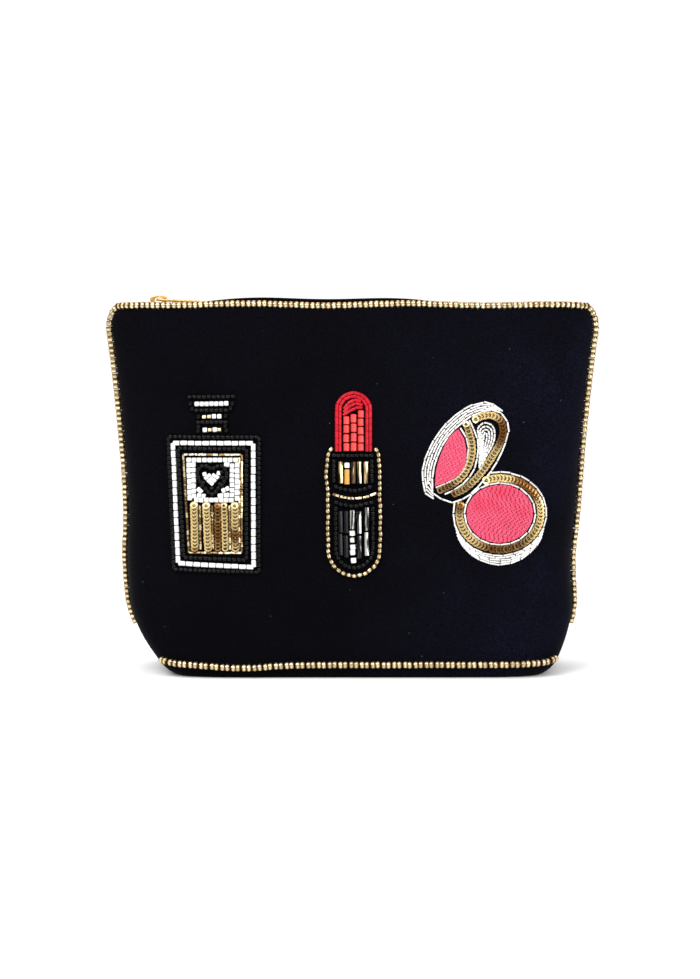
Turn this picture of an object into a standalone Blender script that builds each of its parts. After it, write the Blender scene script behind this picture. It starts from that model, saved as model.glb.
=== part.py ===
"""Zipped velvet makeup bag with a flat base, beaded edges and three beaded motifs on its front.

Metres, +Z up. The origin is the centre of the base on the table, the front faces -Y and +X is to the right.
The front and back each turn about their base seam as the zip slider runs, which opens the mouth.
"""

import math

import bmesh
import bpy
from mathutils import Vector

MM = 0.001


def mm(*values):
    return tuple(value * MM for value in values)


GAP = 0.3 * MM  # between pieces that touch

# Outline of the bag, seen from the front
RIM_HEIGHT = 126.0 * MM
SHOULDER_HEIGHT = 119.0 * MM
SHOULDER_HALF_WIDTH = 84.0 * MM
RIM_NARROWING = 2.6 * MM
WAIST_HEIGHT = 26.0 * MM
WAIST_HALF_WIDTH = 76.8 * MM
FOOT_HALF_WIDTH = 66.5 * MM

# Outline seen from the side
SEAM_HEIGHT = 4.5 * MM  # where the front meets the base
SIDE_SEAM_RISE = 14.5 * MM  # how much higher the base reaches at the two sides
BASE_HALF_DEPTH = 25.0 * MM
RIM_HALF_DEPTH = 8.0 * MM
BULGE = 2.0 * MM
EDGE_DROP = 4.0 * MM  # height of the base's rounded lower edge
EDGE_LOW_INSET = 2.5 * MM  # how far that edge is drawn in on the ground
EDGE_MID_INSET = 0.6 * MM  # and a third of the way up
EDGE_INNER_MID_INSET = 1.4 * MM
EDGE_INNER_LOW_INSET = 3.5 * MM
EDGE_LEAST_RISE = 1.2 * MM

# Cloth layers, from the outside in
VELVET = 0.8 * MM
INTERLINING = 0.6 * MM
LINING = 0.4 * MM
INTERLINING_INSET = VELVET + GAP
LINING_INSET = INTERLINING_INSET + INTERLINING + GAP
CLOTH = LINING_INSET + LINING
BOARD = 1.2 * MM
BOARD_INSET = 7.0 * MM
BOARD_POINTS = 32

SEWN_LIFT = 1.5 * GAP  # from the cloth to what is sewn on it
BEAD_RADIUS = 1.2 * MM  # edging beads
TOP_ROW_INSET = 0.4 * MM
LONGEST_STITCH = 8.0 * MM
BASE_ROW_START = 0.09  # share of a turn from the side seam to the end of the base's bead row

# Zip
CHAIN_HEIGHT = 124.5 * MM
TOOTH_THICKNESS = 2.0 * MM
TOOTH_PITCH = 2.4 * MM
TOOTH_ROOT = 2.4 * MM  # half width of the closed chain
TOOTH_NECK = 1.6 * MM
TOOTH_TIP = 0.55 * MM
TAPE = 0.6 * MM
TAPE_HALF_LENGTH = 74.0 * MM
TEETH_START = -71.0 * MM
TEETH_COUNT = 54
SLIDER_X = -67.0 * MM
SLIDER_LENGTH = 8.0 * MM
SLIDER_WIDTH = 6.4 * MM
PLATE = 0.7 * MM
PLATE_OVER_TEETH = 0.9 * MM  # the front teeth rise this much as the mouth opens
PLATE_UNDER_TEETH = 0.3 * MM
WEB_START = 3.5 * MM  # from the middle of the slider, towards its closed end
WEB_END = 1.5 * MM
BRIDGE_WIDTH = 2.0 * MM
BRIDGE_LENGTH = 6.0 * MM
BRIDGE_HEIGHT = 2.8 * MM
BRIDGE_WALL = 1.0 * MM
BRIDGE_ROOF = 0.6 * MM
PULL_LENGTH = 16.0 * MM
PULL_WIDTH = 5.0 * MM
PULL_THICKNESS = 0.8 * MM
PULL_EYE = 0.75 * MM  # half length of the bar that runs through the bridge
PULL_WINDOW_END = 4.2 * MM
PULL_WINDOW_HALF_WIDTH = 1.4 * MM
PULL_ROUNDING = 0.8 * MM
PULL_DROOP = math.radians(8)
STOP_LENGTH = 1.6 * MM
BOTTOM_STOP_LENGTH = 2.0 * MM

# Perfume bottle on the front. Corners are (x, z) and rectangles are left, right, low, high.
PERFUME_LOW_LEFT = mm(-60.9, 36.3)
PERFUME_LOW_RIGHT = mm(-31.8, 36.3)
PERFUME_TOP_LEFT = mm(-63.2, 81.7)
PERFUME_TOP_RIGHT = mm(-31.8, 81.7)
PERFUME_RING_SPACING = 1.95 * MM
PERFUME_RING_RADIUS = 0.72 * MM
PERFUME_LABEL = mm(-55.0, -39.0, 60.0, 74.3)
PERFUME_SEQUINS = mm(-53.9, -38.9, 43.6, 59.4)
PERFUME_NECK = mm(-53.2, -43.0, 83.4, 89.4)
PERFUME_STOPPER = mm(-56.0, -40.4, 90.0, 96.3)
HEART_MIDDLE = -47.7 * MM
HEART_FOOT = 62.6 * MM
HEART_DIP = 71.2 * MM
HEART_HALF = (mm(5.3, 67.2), mm(5.7, 71.0), mm(2.9, 72.8))  # from the middle, and up

# Lipstick on the front
LIPSTICK_MIDDLE = 0.5 * MM
BULLET_LOW = 77.4 * MM
BULLET_DOME = 91.0 * MM  # centre of its round top
BULLET_HALF_WIDTH = 5.0 * MM
BULLET_RING_SPACING = 1.7 * MM
BULLET_RING_RADIUS = 0.65 * MM
BULLET_FILL_HALF_WIDTH = 2.1 * MM
OUTLINE_HALF_WIDTH = 8.9 * MM
OUTLINE_RANGE = mm(35.6, 78.4)
OUTLINE_RADIUS = 0.85 * MM
CASE_HALF_WIDTH = 6.6 * MM
CASE_RANGE = mm(38.2, 59.4)
COLLAR_RANGE = mm(64.6, 75.2)
CASE_ROW_RADIUS = 0.8 * MM
BUGLES_INSET = 1.4 * MM  # from the rows round them
BAND_HALF_WIDTH = 6.9 * MM
BAND_HEIGHT = 62.0 * MM
BAND_SAG = 0.4 * MM
BAND_RADIUS = 0.7 * MM

# Open powder compact on the front
PAN_CENTRE = mm(50.2, 56.3)
PAN_SATIN = mm(11.2, 9.5)  # half width and half height
PAN_RING = mm(13.3, 11.6)
PAN_RIM_INSIDE = mm(15.6, 13.6)
PAN_RIM_CENTRE = mm(50.2, 54.4)
PAN_RIM_OUTSIDE = mm(15.8, 14.8)
LID_TILT = 61.0  # degrees
LID_CENTRE = mm(37.6, 76.4)
LID_RING = mm(15.6, 7.2)
LID_RIM_INSIDE = mm(17.4, 8.8)
LID_BACK_CENTRE = mm(36.6, 76.9)
LID_SATIN = mm(12.6, 4.9)
LID_RIM_OUTSIDE = mm(18.0, 11.6)
MIRROR_CENTRE = mm(38.6, 75.9)
MIRROR = mm(11.6, 4.6)
SEQUIN_ROW_RADIUS = 1.0 * MM

FIELD = 0.9 * MM  # thickness of satin stitch, wire and sequins
BEAD_FIELD = 1.2 * MM
BUGLE_FIELD = 1.4 * MM
HEART_FIELD = 0.8 * MM

ROUND_STEPS = 24
HEIGHT_STEPS = 9


def material(name, colour, roughness, metallic=0.0):
    made = bpy.data.materials.new(name)
    made.use_nodes = True
    shader = made.node_tree.nodes["Principled BSDF"]
    shader.inputs["Base Color"].default_value = (*colour, 1.0)
    shader.inputs["Roughness"].default_value = roughness
    shader.inputs["Metallic"].default_value = metallic
    return made


def add(name, mesh_builder, finish, parent=None):
    """Writes a bmesh to a new named object and parents it to the empty of its body."""
    mesh = bpy.data.meshes.new(name)
    bmesh.ops.recalc_face_normals(mesh_builder, faces=mesh_builder.faces)
    if mesh_builder.calc_volume(signed=True) < 0:
        bmesh.ops.reverse_faces(mesh_builder, faces=mesh_builder.faces)
    mesh_builder.to_mesh(mesh)
    mesh_builder.free()
    mesh.shade_smooth()
    mesh.set_sharp_from_angle(angle=math.radians(35))
    made = bpy.data.objects.new(name, mesh)
    made.data.materials.append(finish)
    bpy.context.scene.collection.objects.link(made)
    if parent:
        made.parent = parent
        made.matrix_parent_inverse = parent.matrix_basis.inverted()
    return made


# The bag's shape: at each height, a plan that is boxy at the base and pinched at the rim


def half_width(z):
    if z < WAIST_HEIGHT:
        below = (WAIST_HEIGHT - max(z, 0.0)) / WAIST_HEIGHT
        return WAIST_HALF_WIDTH - (WAIST_HALF_WIDTH - FOOT_HALF_WIDTH) * below**2
    above = min((z - WAIST_HEIGHT) / (SHOULDER_HEIGHT - WAIST_HEIGHT), 1.0)
    width = WAIST_HALF_WIDTH + (SHOULDER_HALF_WIDTH - WAIST_HALF_WIDTH) * above**1.9
    past = max((z - SHOULDER_HEIGHT) / (RIM_HEIGHT - SHOULDER_HEIGHT), 0.0)
    return width - RIM_NARROWING * past**2


def height_share(z):
    return min(max((z - SEAM_HEIGHT) / (RIM_HEIGHT - SEAM_HEIGHT), 0.0), 1.0)


def half_depth(z):
    share = height_share(z)
    return BASE_HALF_DEPTH + (RIM_HALF_DEPTH - BASE_HALF_DEPTH) * share + BULGE * math.sin(math.pi * share)


def plan_powers(z):
    """How boxy the plan is along X and along Y: a box at the base, pinched at the side seams above it."""
    share = height_share(z)
    return 9.0 + share - 4.0 * math.sin(math.pi * share), 1.6 + 2.9 * (1 - share) ** 3


def plan_point(turn, z, inset=0.0):
    """A point of the plan at a height: turn 0 is the right side seam, a quarter turn later the front."""
    across, deep = plan_powers(z)
    cosine, sine = math.cos(turn * math.tau), math.sin(turn * math.tau)
    x = (half_width(z) - inset) * math.copysign(abs(cosine) ** (2 / across), cosine)
    y = -(half_depth(z) - inset) * math.copysign(abs(sine) ** (2 / deep), sine)
    return Vector((x, y, z))


def plan_outward(turn, z):
    """The level direction that points away from the bag at a point of the plan."""
    across, deep = plan_powers(z)
    place = plan_point(turn, z)
    x, y = place.x / half_width(z), place.y / half_depth(z)
    along_x = across * math.copysign(abs(x) ** (across - 1), x) / half_width(z)
    along_y = deep * math.copysign(abs(y) ** (deep - 1), y) / half_depth(z)
    return Vector((along_x, along_y, 0.0)).normalized()


def plan_depth(x, z, inset=0.0):
    """How far the wall stands from the middle plane at x."""
    across, deep = plan_powers(z)
    share = min(abs(x) / (half_width(z) - inset), 1.0)
    return (half_depth(z) - inset) * (1 - share**across) ** (1 / deep)


def seam_height(turn):
    """Height of the seam between the base and the walls, which climbs on the two sides."""
    across_depth = abs(math.sin(turn * math.tau)) ** (2 / plan_powers(SEAM_HEIGHT)[1])
    return SEAM_HEIGHT + SIDE_SEAM_RISE * (1 - across_depth) ** 1.5


def on_front(x, z, lift):
    """A point lifted off the front of the bag."""
    return Vector((x, -plan_depth(x, z) - lift, z))


# Builders


def slab(outer, inner, columns, rows):
    """A closed sheet with thickness: outer(u, v) and inner(u, v) give its two faces."""
    bm = bmesh.new()
    bmesh.ops.create_grid(bm, x_segments=columns, y_segments=rows, size=0.5)
    grown = bmesh.ops.extrude_face_region(bm, geom=bm.faces[:], use_keep_orig=True)
    inside = {item for item in grown["geom"] if isinstance(item, bmesh.types.BMVert)}
    for vert in bm.verts:
        u, v = vert.co.x + 0.5, vert.co.y + 0.5
        vert.co = inner(u, v) if vert in inside else outer(u, v)
    return bm


def wall(name, side, outside, thickness, finish, parent):
    """The front (side 1) or back (side -1) half of one cloth layer, from the base seam to the rim."""

    def face(inset):
        def point(u, v):
            turn = side * u / 2
            foot = seam_height(turn) + GAP
            rise = (1 - math.cos(math.pi * v)) / 2  # rows lie closer at the foot and the shoulder
            place = plan_point(turn, foot + (RIM_HEIGHT - foot) * rise, inset)
            return place - Vector((0, side * GAP / 2, 0))

        return point

    bm = slab(face(outside), face(outside + thickness), ROUND_STEPS, HEIGHT_STEPS)
    return add(name, bm, finish, parent)


def pan(name, outside, thickness, floor, finish, parent):
    """A shallow tray: one layer of the base with its upturned sides."""
    steps = 2 * ROUND_STEPS

    def ring(lift, inset, rim=False):
        turns = [step / steps for step in range(steps)]
        return [plan_point(turn, seam_height(turn) if rim else lift, inset) for turn in turns]

    inner = outside + thickness
    edge_top = max(EDGE_DROP, floor + EDGE_LEAST_RISE)
    rings = [
        ring(floor, outside + EDGE_LOW_INSET),
        ring(floor + EDGE_DROP * 0.3, outside + EDGE_MID_INSET),
        ring(edge_top, outside),
        ring(0, outside, rim=True),
        ring(0, inner, rim=True),
        ring(edge_top, inner),
        ring(floor + 1.5 * thickness, inner + EDGE_INNER_MID_INSET),
        ring(floor + thickness, inner + EDGE_INNER_LOW_INSET),
    ]
    bm = bmesh.new()
    bmesh.ops.create_circle(bm, cap_ends=True, segments=steps, radius=1.0)
    loop = bm.verts[:]
    for vert, place in zip(loop, rings[0]):
        vert.co = place
    edges = bm.edges[:]
    for places in rings[1:]:
        grown = bmesh.ops.extrude_edge_only(bm, edges=edges)["geom"]
        edges = [item for item in grown if isinstance(item, bmesh.types.BMEdge)]
        edges = [edge for edge in edges if all(v not in loop for v in edge.verts)]
        steps_up = {edge.other_vert(vert): vert for vert in loop for edge in vert.link_edges}
        new_loop = [None] * steps
        for vert in {v for edge in edges for v in edge.verts}:
            new_loop[loop.index(steps_up[vert])] = vert
        for vert, place in zip(new_loop, places):
            vert.co = place
        loop = new_loop
    bmesh.ops.contextual_create(bm, geom=edges)
    return add(name, bm, finish, parent)


def box(low, high):
    bm = bmesh.new()
    bmesh.ops.create_cube(bm, size=1.0)
    low, high = Vector(low), Vector(high)
    bmesh.ops.scale(bm, vec=high - low, verts=bm.verts)
    bmesh.ops.translate(bm, vec=(low + high) / 2, verts=bm.verts)
    return bm


def combine(target, low, high, operation):
    """Joins a box to an object or cuts it away, and keeps the tool box hidden."""
    tool = add(f"{target.name}_tool_{len(target.modifiers)}", box(low, high), target.data.materials[0])
    tool.hide_render = True
    tool.display_type = "WIRE"
    tool.parent = target.parent
    tool.matrix_parent_inverse = target.matrix_parent_inverse
    modifier = target.modifiers.new(operation.lower(), "BOOLEAN")
    modifier.operation = operation
    modifier.solver = "EXACT"
    modifier.object = tool


def row(name, points, radius, finish, parent, closed=False, sides=2):
    """A strung row of beads as one round cord through the points."""
    curve = bpy.data.curves.new(name, "CURVE")
    curve.dimensions = "3D"
    curve.bevel_depth = radius
    curve.bevel_resolution = sides
    curve.use_fill_caps = True
    line = curve.splines.new("POLY")
    line.points.add(len(points) - 1)
    for knot, place in zip(line.points, points):
        knot.co = (*place, 1.0)
    line.use_cyclic_u = closed
    made = bpy.data.objects.new(name, curve)
    curve.materials.append(finish)
    bpy.context.scene.collection.objects.link(made)
    made.parent = parent
    made.matrix_parent_inverse = parent.matrix_basis.inverted()
    return made


def with_stitches(outline, closed):
    """The outline with points added, none further apart than a stitch, so that the row hugs the cloth."""
    ends = outline[1:] + outline[:1] if closed else outline[1:]
    points = []
    for start, end in zip(outline, ends):
        parts = math.ceil(math.dist(start, end) / LONGEST_STITCH)
        for part in range(parts):
            share = part / parts
            points.append(tuple(a + (b - a) * share for a, b in zip(start, end)))
    return points if closed else [*points, outline[-1]]


def sewn_row(name, outline, radius, finish, parent, closed=False):
    """A bead row that follows the front of the bag through (x, z) points."""
    points = [on_front(x, z, radius + SEWN_LIFT) for x, z in with_stitches(outline, closed)]
    return row(name, points, radius, finish, parent, closed, sides=1)


def patch(name, outline, thickness, finish, parent, lift=SEWN_LIFT):
    """A flat field of beads or stitches on the front of the bag, inside an outline of (x, z) points."""
    bm = bmesh.new()
    face = bm.faces.new([bm.verts.new(on_front(x, z, lift)) for x, z in outline])
    grown = bmesh.ops.extrude_face_region(bm, geom=[face], use_keep_orig=True)
    top = [item for item in grown["geom"] if isinstance(item, bmesh.types.BMVert)]
    bmesh.ops.translate(bm, vec=(0, -thickness, 0), verts=top)
    bmesh.ops.triangulate(bm, faces=bm.faces)
    return add(name, bm, finish, parent)


# Outlines on the front, as (x, z) points


def frame_outline(low_left, low_right, top_left, top_right, inset):
    """A four-sided outline moved in by the same distance on every side."""
    return [
        (low_left[0] + inset, low_left[1] + inset),
        (low_right[0] - inset, low_right[1] + inset),
        (top_right[0] - inset, top_right[1] - inset),
        (top_left[0] + inset, top_left[1] - inset),
    ]


def rectangle(left, right, low, high):
    return [(left, low), (right, low), (right, high), (left, high)]


def arc(centre, radii, first, last, steps, tilt=0.0):
    """Points along an ellipse, angles in degrees from +X, the ellipse tilted by tilt."""
    points = []
    for step in range(steps + 1):
        angle = math.radians(first + (last - first) * step / steps)
        x, z = radii[0] * math.cos(angle), radii[1] * math.sin(angle)
        cosine, sine = math.cos(math.radians(tilt)), math.sin(math.radians(tilt))
        points.append((centre[0] + x * cosine - z * sine, centre[1] + x * sine + z * cosine))
    return points


def ellipse(centre, radii, steps, tilt=0.0):
    return arc(centre, radii, 0, 360, steps, tilt)[:-1]


def pill(left, right, low, high, steps=8):
    """An upright outline with a round foot, open at the top."""
    radius = (right - left) / 2
    centre = ((left + right) / 2, low + radius)
    return [(left, high), *arc(centre, (radius, radius), 180, 360, steps), (right, high)]


def build_base(finishes, parent):
    pan("base_panel", 0.0, VELVET, 0.0, finishes["velvet"], parent)
    board_floor = VELVET + GAP
    board_rim = [plan_point(step / BOARD_POINTS, EDGE_DROP, BOARD_INSET) for step in range(BOARD_POINTS)]
    bm = bmesh.new()
    face = bm.faces.new([bm.verts.new((p.x, p.y, board_floor)) for p in board_rim])
    grown = bmesh.ops.extrude_face_region(bm, geom=[face], use_keep_orig=True)
    top = [item for item in grown["geom"] if isinstance(item, bmesh.types.BMVert)]
    bmesh.ops.translate(bm, vec=(0, 0, BOARD), verts=top)
    add("base_board", bm, finishes["board"], parent)
    lining_floor = board_floor + BOARD + GAP
    pan("base_lining", LINING_INSET, LINING, lining_floor, finishes["lining"], parent)


def build_walls(word, side, finishes, parent):
    wall(f"{word}_panel", side, 0.0, VELVET, finishes["velvet"], parent)
    wall(f"{word}_interlining", side, INTERLINING_INSET, INTERLINING, finishes["felt"], parent)
    wall(f"{word}_lining", side, LINING_INSET, LINING, finishes["lining"], parent)


def build_zip_half(word, side, finishes, parent):
    """Tape, teeth and top stop of one half of the zip. Side 1 is the front."""

    def tape_face(height):
        def point(u, v):
            x = (2 * u - 1) * TAPE_HALF_LENGTH
            edge = plan_depth(x, CHAIN_HEIGHT, CLOTH + GAP)
            return Vector((x, -side * (edge + (TOOTH_ROOT + GAP - edge) * v), height))

        return point

    tape = slab(tape_face(CHAIN_HEIGHT - TAPE / 2), tape_face(CHAIN_HEIGHT + TAPE / 2), 20, 1)
    add(f"{word}_zip_tape", tape, finishes["tape"], parent)

    low = CHAIN_HEIGHT - TOOTH_THICKNESS / 2
    comb = []
    for tooth in range(TEETH_COUNT):
        start = TEETH_START + tooth * TOOTH_PITCH
        end = start + TOOTH_PITCH / 2
        comb += [(start, TOOTH_NECK), (start, TOOTH_TIP), (end, TOOTH_TIP), (end, TOOTH_NECK)]
    comb += [(comb[-1][0], TOOTH_ROOT), (TEETH_START, TOOTH_ROOT)]
    bm = bmesh.new()
    face = bm.faces.new([bm.verts.new((x, -side * y, low)) for x, y in comb])
    grown = bmesh.ops.extrude_face_region(bm, geom=[face], use_keep_orig=True)
    top = [item for item in grown["geom"] if isinstance(item, bmesh.types.BMVert)]
    bmesh.ops.translate(bm, vec=(0, 0, TOOTH_THICKNESS), verts=top)
    add(f"{word}_zip_teeth", bm, finishes["brass"], parent)

    stop_end = TEETH_START - GAP
    near, far = sorted((-side * TOOTH_TIP, -side * TOOTH_ROOT))
    stop = box((stop_end - STOP_LENGTH, near, low), (stop_end, far, low + TOOTH_THICKNESS))
    add(f"{word}_top_stop", stop, finishes["brass"], parent)


def build_slider(finishes, parent):
    """Two plates joined by a web that runs between the teeth, with a bridge for the pull."""
    teeth_low = CHAIN_HEIGHT - TOOTH_THICKNESS / 2
    teeth_top = CHAIN_HEIGHT + TOOTH_THICKNESS / 2
    upper = teeth_top + PLATE_OVER_TEETH
    lower = teeth_low - PLATE_UNDER_TEETH
    half, wide = SLIDER_LENGTH / 2, SLIDER_WIDTH / 2
    x = SLIDER_X
    bm = box((x - half, -wide, upper), (x + half, wide, upper + PLATE))
    body = add("zip_slider", bm, finishes["brass"], parent)
    combine(body, (x - half, -wide, lower - PLATE), (x + half, wide, lower), "UNION")
    web = TOOTH_TIP - GAP
    combine(body, (x - WEB_START, -web, lower - PLATE / 2), (x - WEB_END, web, upper + PLATE / 2), "UNION")
    top = upper + PLATE
    bridge, narrow = BRIDGE_LENGTH / 2, BRIDGE_WIDTH / 2
    combine(body, (x - bridge, -narrow, top - PLATE / 2), (x + bridge, narrow, top + BRIDGE_HEIGHT), "UNION")
    hole = bridge - BRIDGE_WALL
    combine(
        body,
        (x - hole, -2 * narrow, top + GAP),
        (x + hole, 2 * narrow, top + BRIDGE_HEIGHT - BRIDGE_ROOF),
        "DIFFERENCE",
    )
    return Vector((x, 0.0, top + (BRIDGE_HEIGHT - BRIDGE_ROOF + GAP) / 2))


def build_pull(pivot, finishes, parent):
    """A flat pull with an eye round the slider's bridge, drooping to the teeth."""
    wide, thick = PULL_WIDTH / 2, PULL_THICKNESS / 2
    bm = box((-PULL_EYE, -wide, -thick), (PULL_LENGTH, wide, thick))
    ends = [e for e in bm.edges if abs(e.verts[0].co.z - e.verts[1].co.z) > thick]
    bmesh.ops.bevel(
        bm, geom=ends, offset=PULL_ROUNDING, segments=3, profile=0.5, affect="EDGES", material=-1
    )
    pull = add("pull_tab", bm, finishes["gilt"])
    narrow = PULL_WINDOW_HALF_WIDTH
    opening = box((PULL_EYE, -narrow, -2 * thick), (PULL_WINDOW_END, narrow, 2 * thick))
    window = add("pull_window", opening, finishes["gilt"])
    window.hide_render = True
    window.display_type = "WIRE"
    cut = pull.modifiers.new("window", "BOOLEAN")
    cut.operation = "DIFFERENCE"
    cut.solver = "EXACT"
    cut.object = window
    for piece in (pull, window):
        piece.parent = parent
        piece.rotation_euler = (0.0, PULL_DROOP, 0.0)


def build_edging(finishes, bodies):
    lift = BEAD_RADIUS + GAP
    top = []
    for step in range(31):
        share = -math.cos(math.pi * step / 30)
        x = share * (half_width(RIM_HEIGHT) - TOP_ROW_INSET)
        top.append(Vector((x, -plan_depth(x, RIM_HEIGHT), RIM_HEIGHT + lift)))
    row("top_edge_beads", top, BEAD_RADIUS, finishes["gold_glass"], bodies["front"])
    foot = SEAM_HEIGHT + SIDE_SEAM_RISE
    for word, side in (("left", -1), ("right", 1)):
        heights = [foot + (RIM_HEIGHT - foot) * step / 24 for step in range(25)]
        line = [Vector((side * (half_width(z) + lift), 0.0, z)) for z in heights]
        row(f"{word}_side_beads", line, BEAD_RADIUS, finishes["gold_glass"], bodies["base"])
    base = []
    for step in range(25):
        turn = BASE_ROW_START + (0.5 - 2 * BASE_ROW_START) * step / 24
        height = seam_height(turn)
        base.append(plan_point(turn, height) + plan_outward(turn, height) * (lift + GAP))
    row("base_edge_beads", base, BEAD_RADIUS, finishes["gold_glass"], bodies["base"])


def build_perfume(finishes, parent):
    corners = (PERFUME_LOW_LEFT, PERFUME_LOW_RIGHT, PERFUME_TOP_LEFT, PERFUME_TOP_RIGHT)
    rings = (
        ("black_frame", "black_glass"),
        ("white_frame", "white_glass"),
        ("inner_black_frame", "black_glass"),
        ("gold_frame", "gold_glass"),
    )
    for number, (word, finish) in enumerate(rings):
        outline = frame_outline(*corners, number * PERFUME_RING_SPACING)
        sewn_row(f"perfume_{word}", outline, PERFUME_RING_RADIUS, finishes[finish], parent, closed=True)
    fields = (
        ("label", PERFUME_LABEL, BEAD_FIELD, "white_glass"),
        ("sequins", PERFUME_SEQUINS, FIELD, "gilt"),
        ("neck", PERFUME_NECK, BEAD_FIELD, "black_glass"),
        ("stopper", PERFUME_STOPPER, BEAD_FIELD, "black_glass"),
    )
    for word, sides, thickness, finish in fields:
        patch(f"perfume_{word}", rectangle(*sides), thickness, finishes[finish], parent)
    right = [(HEART_MIDDLE + away, z) for away, z in HEART_HALF]
    left = [(HEART_MIDDLE - away, z) for away, z in reversed(HEART_HALF)]
    heart = [(HEART_MIDDLE, HEART_FOOT), *right, (HEART_MIDDLE, HEART_DIP), *left]
    over_label = BEAD_FIELD + SEWN_LIFT + 2 * GAP
    patch("perfume_heart", heart, HEART_FIELD, finishes["black_glass"], parent, over_label)


def about_lipstick(half_width_here):
    return LIPSTICK_MIDDLE - half_width_here, LIPSTICK_MIDDLE + half_width_here


def build_lipstick(finishes, parent):
    dome = (LIPSTICK_MIDDLE, BULLET_DOME)
    for number, word in enumerate(("outline", "inline")):
        half = BULLET_HALF_WIDTH - number * BULLET_RING_SPACING
        left, right = about_lipstick(half)
        arch = [(left, BULLET_LOW), *arc(dome, (half, half), 180, 0, 10), (right, BULLET_LOW)]
        sewn_row(f"lipstick_bullet_{word}", arch, BULLET_RING_RADIUS, finishes["red_glass"], parent)
    half = BULLET_FILL_HALF_WIDTH
    left, right = about_lipstick(half)
    fill = [(left, BULLET_LOW), (right, BULLET_LOW), *arc(dome, (half, half), 0, 180, 6)]
    patch("lipstick_bullet_fill", fill, BEAD_FIELD, finishes["red_glass"], parent)
    outline = pill(*about_lipstick(OUTLINE_HALF_WIDTH), *OUTLINE_RANGE)
    sewn_row("lipstick_gold_outline", outline, OUTLINE_RADIUS, finishes["gold_glass"], parent)
    left, right = about_lipstick(BAND_HALF_WIDTH)
    band = [(left, BAND_HEIGHT), (LIPSTICK_MIDDLE, BAND_HEIGHT - BAND_SAG), (right, BAND_HEIGHT)]
    sewn_row("lipstick_gold_band", band, BAND_RADIUS, finishes["gilt"], parent)

    rows = about_lipstick(CASE_HALF_WIDTH)
    tubes = about_lipstick(CASE_HALF_WIDTH - BUGLES_INSET)
    sections = (
        ("collar", rectangle, COLLAR_RANGE, "gilt"),
        ("case", pill, CASE_RANGE, "gunmetal"),
    )
    for word, shape, (low, high), finish in sections:
        beads = shape(*rows, low, high)
        jet = finishes["black_glass"]
        sewn_row(f"lipstick_{word}_beads", beads, CASE_ROW_RADIUS, jet, parent, closed=True)
        bugles = shape(*tubes, low + BUGLES_INSET, high - BUGLES_INSET)
        patch(f"lipstick_{word}_bugles", bugles, BUGLE_FIELD, finishes[finish], parent)


def build_compact(finishes, parent):
    satin = ellipse(PAN_CENTRE, PAN_SATIN, 24)
    patch("compact_pan_satin", satin, FIELD, finishes["pink_thread"], parent)
    ring = ellipse(PAN_CENTRE, PAN_RING, 28)
    sewn_row("compact_pan_sequins", ring, SEQUIN_ROW_RADIUS, finishes["gilt"], parent, closed=True)
    rim = [
        *arc(PAN_CENTRE, PAN_RIM_INSIDE, 192, 345, 14),
        *arc(PAN_RIM_CENTRE, PAN_RIM_OUTSIDE, 348, 190, 14),
    ]
    patch("compact_case_rim", rim, FIELD, finishes["silver"], parent)
    ring = ellipse(LID_CENTRE, LID_RING, 28, LID_TILT)
    sewn_row("compact_lid_sequins", ring, SEQUIN_ROW_RADIUS, finishes["gilt"], parent, closed=True)
    satin = arc(LID_BACK_CENTRE, LID_SATIN, 15, 165, 12, LID_TILT)
    patch("compact_lid_satin", satin, FIELD, finishes["pink_thread"], parent)
    mirror = arc(MIRROR_CENTRE, MIRROR, -165, -15, 12, LID_TILT)
    patch("compact_mirror", mirror, FIELD, finishes["silver"], parent)
    rim = [
        *arc(LID_CENTRE, LID_RIM_INSIDE, 20, 172, 14, LID_TILT),
        *arc(LID_BACK_CENTRE, LID_RIM_OUTSIDE, 170, 22, 14, LID_TILT),
    ]
    patch("compact_lid_rim", rim, FIELD, finishes["silver"], parent)


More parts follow.
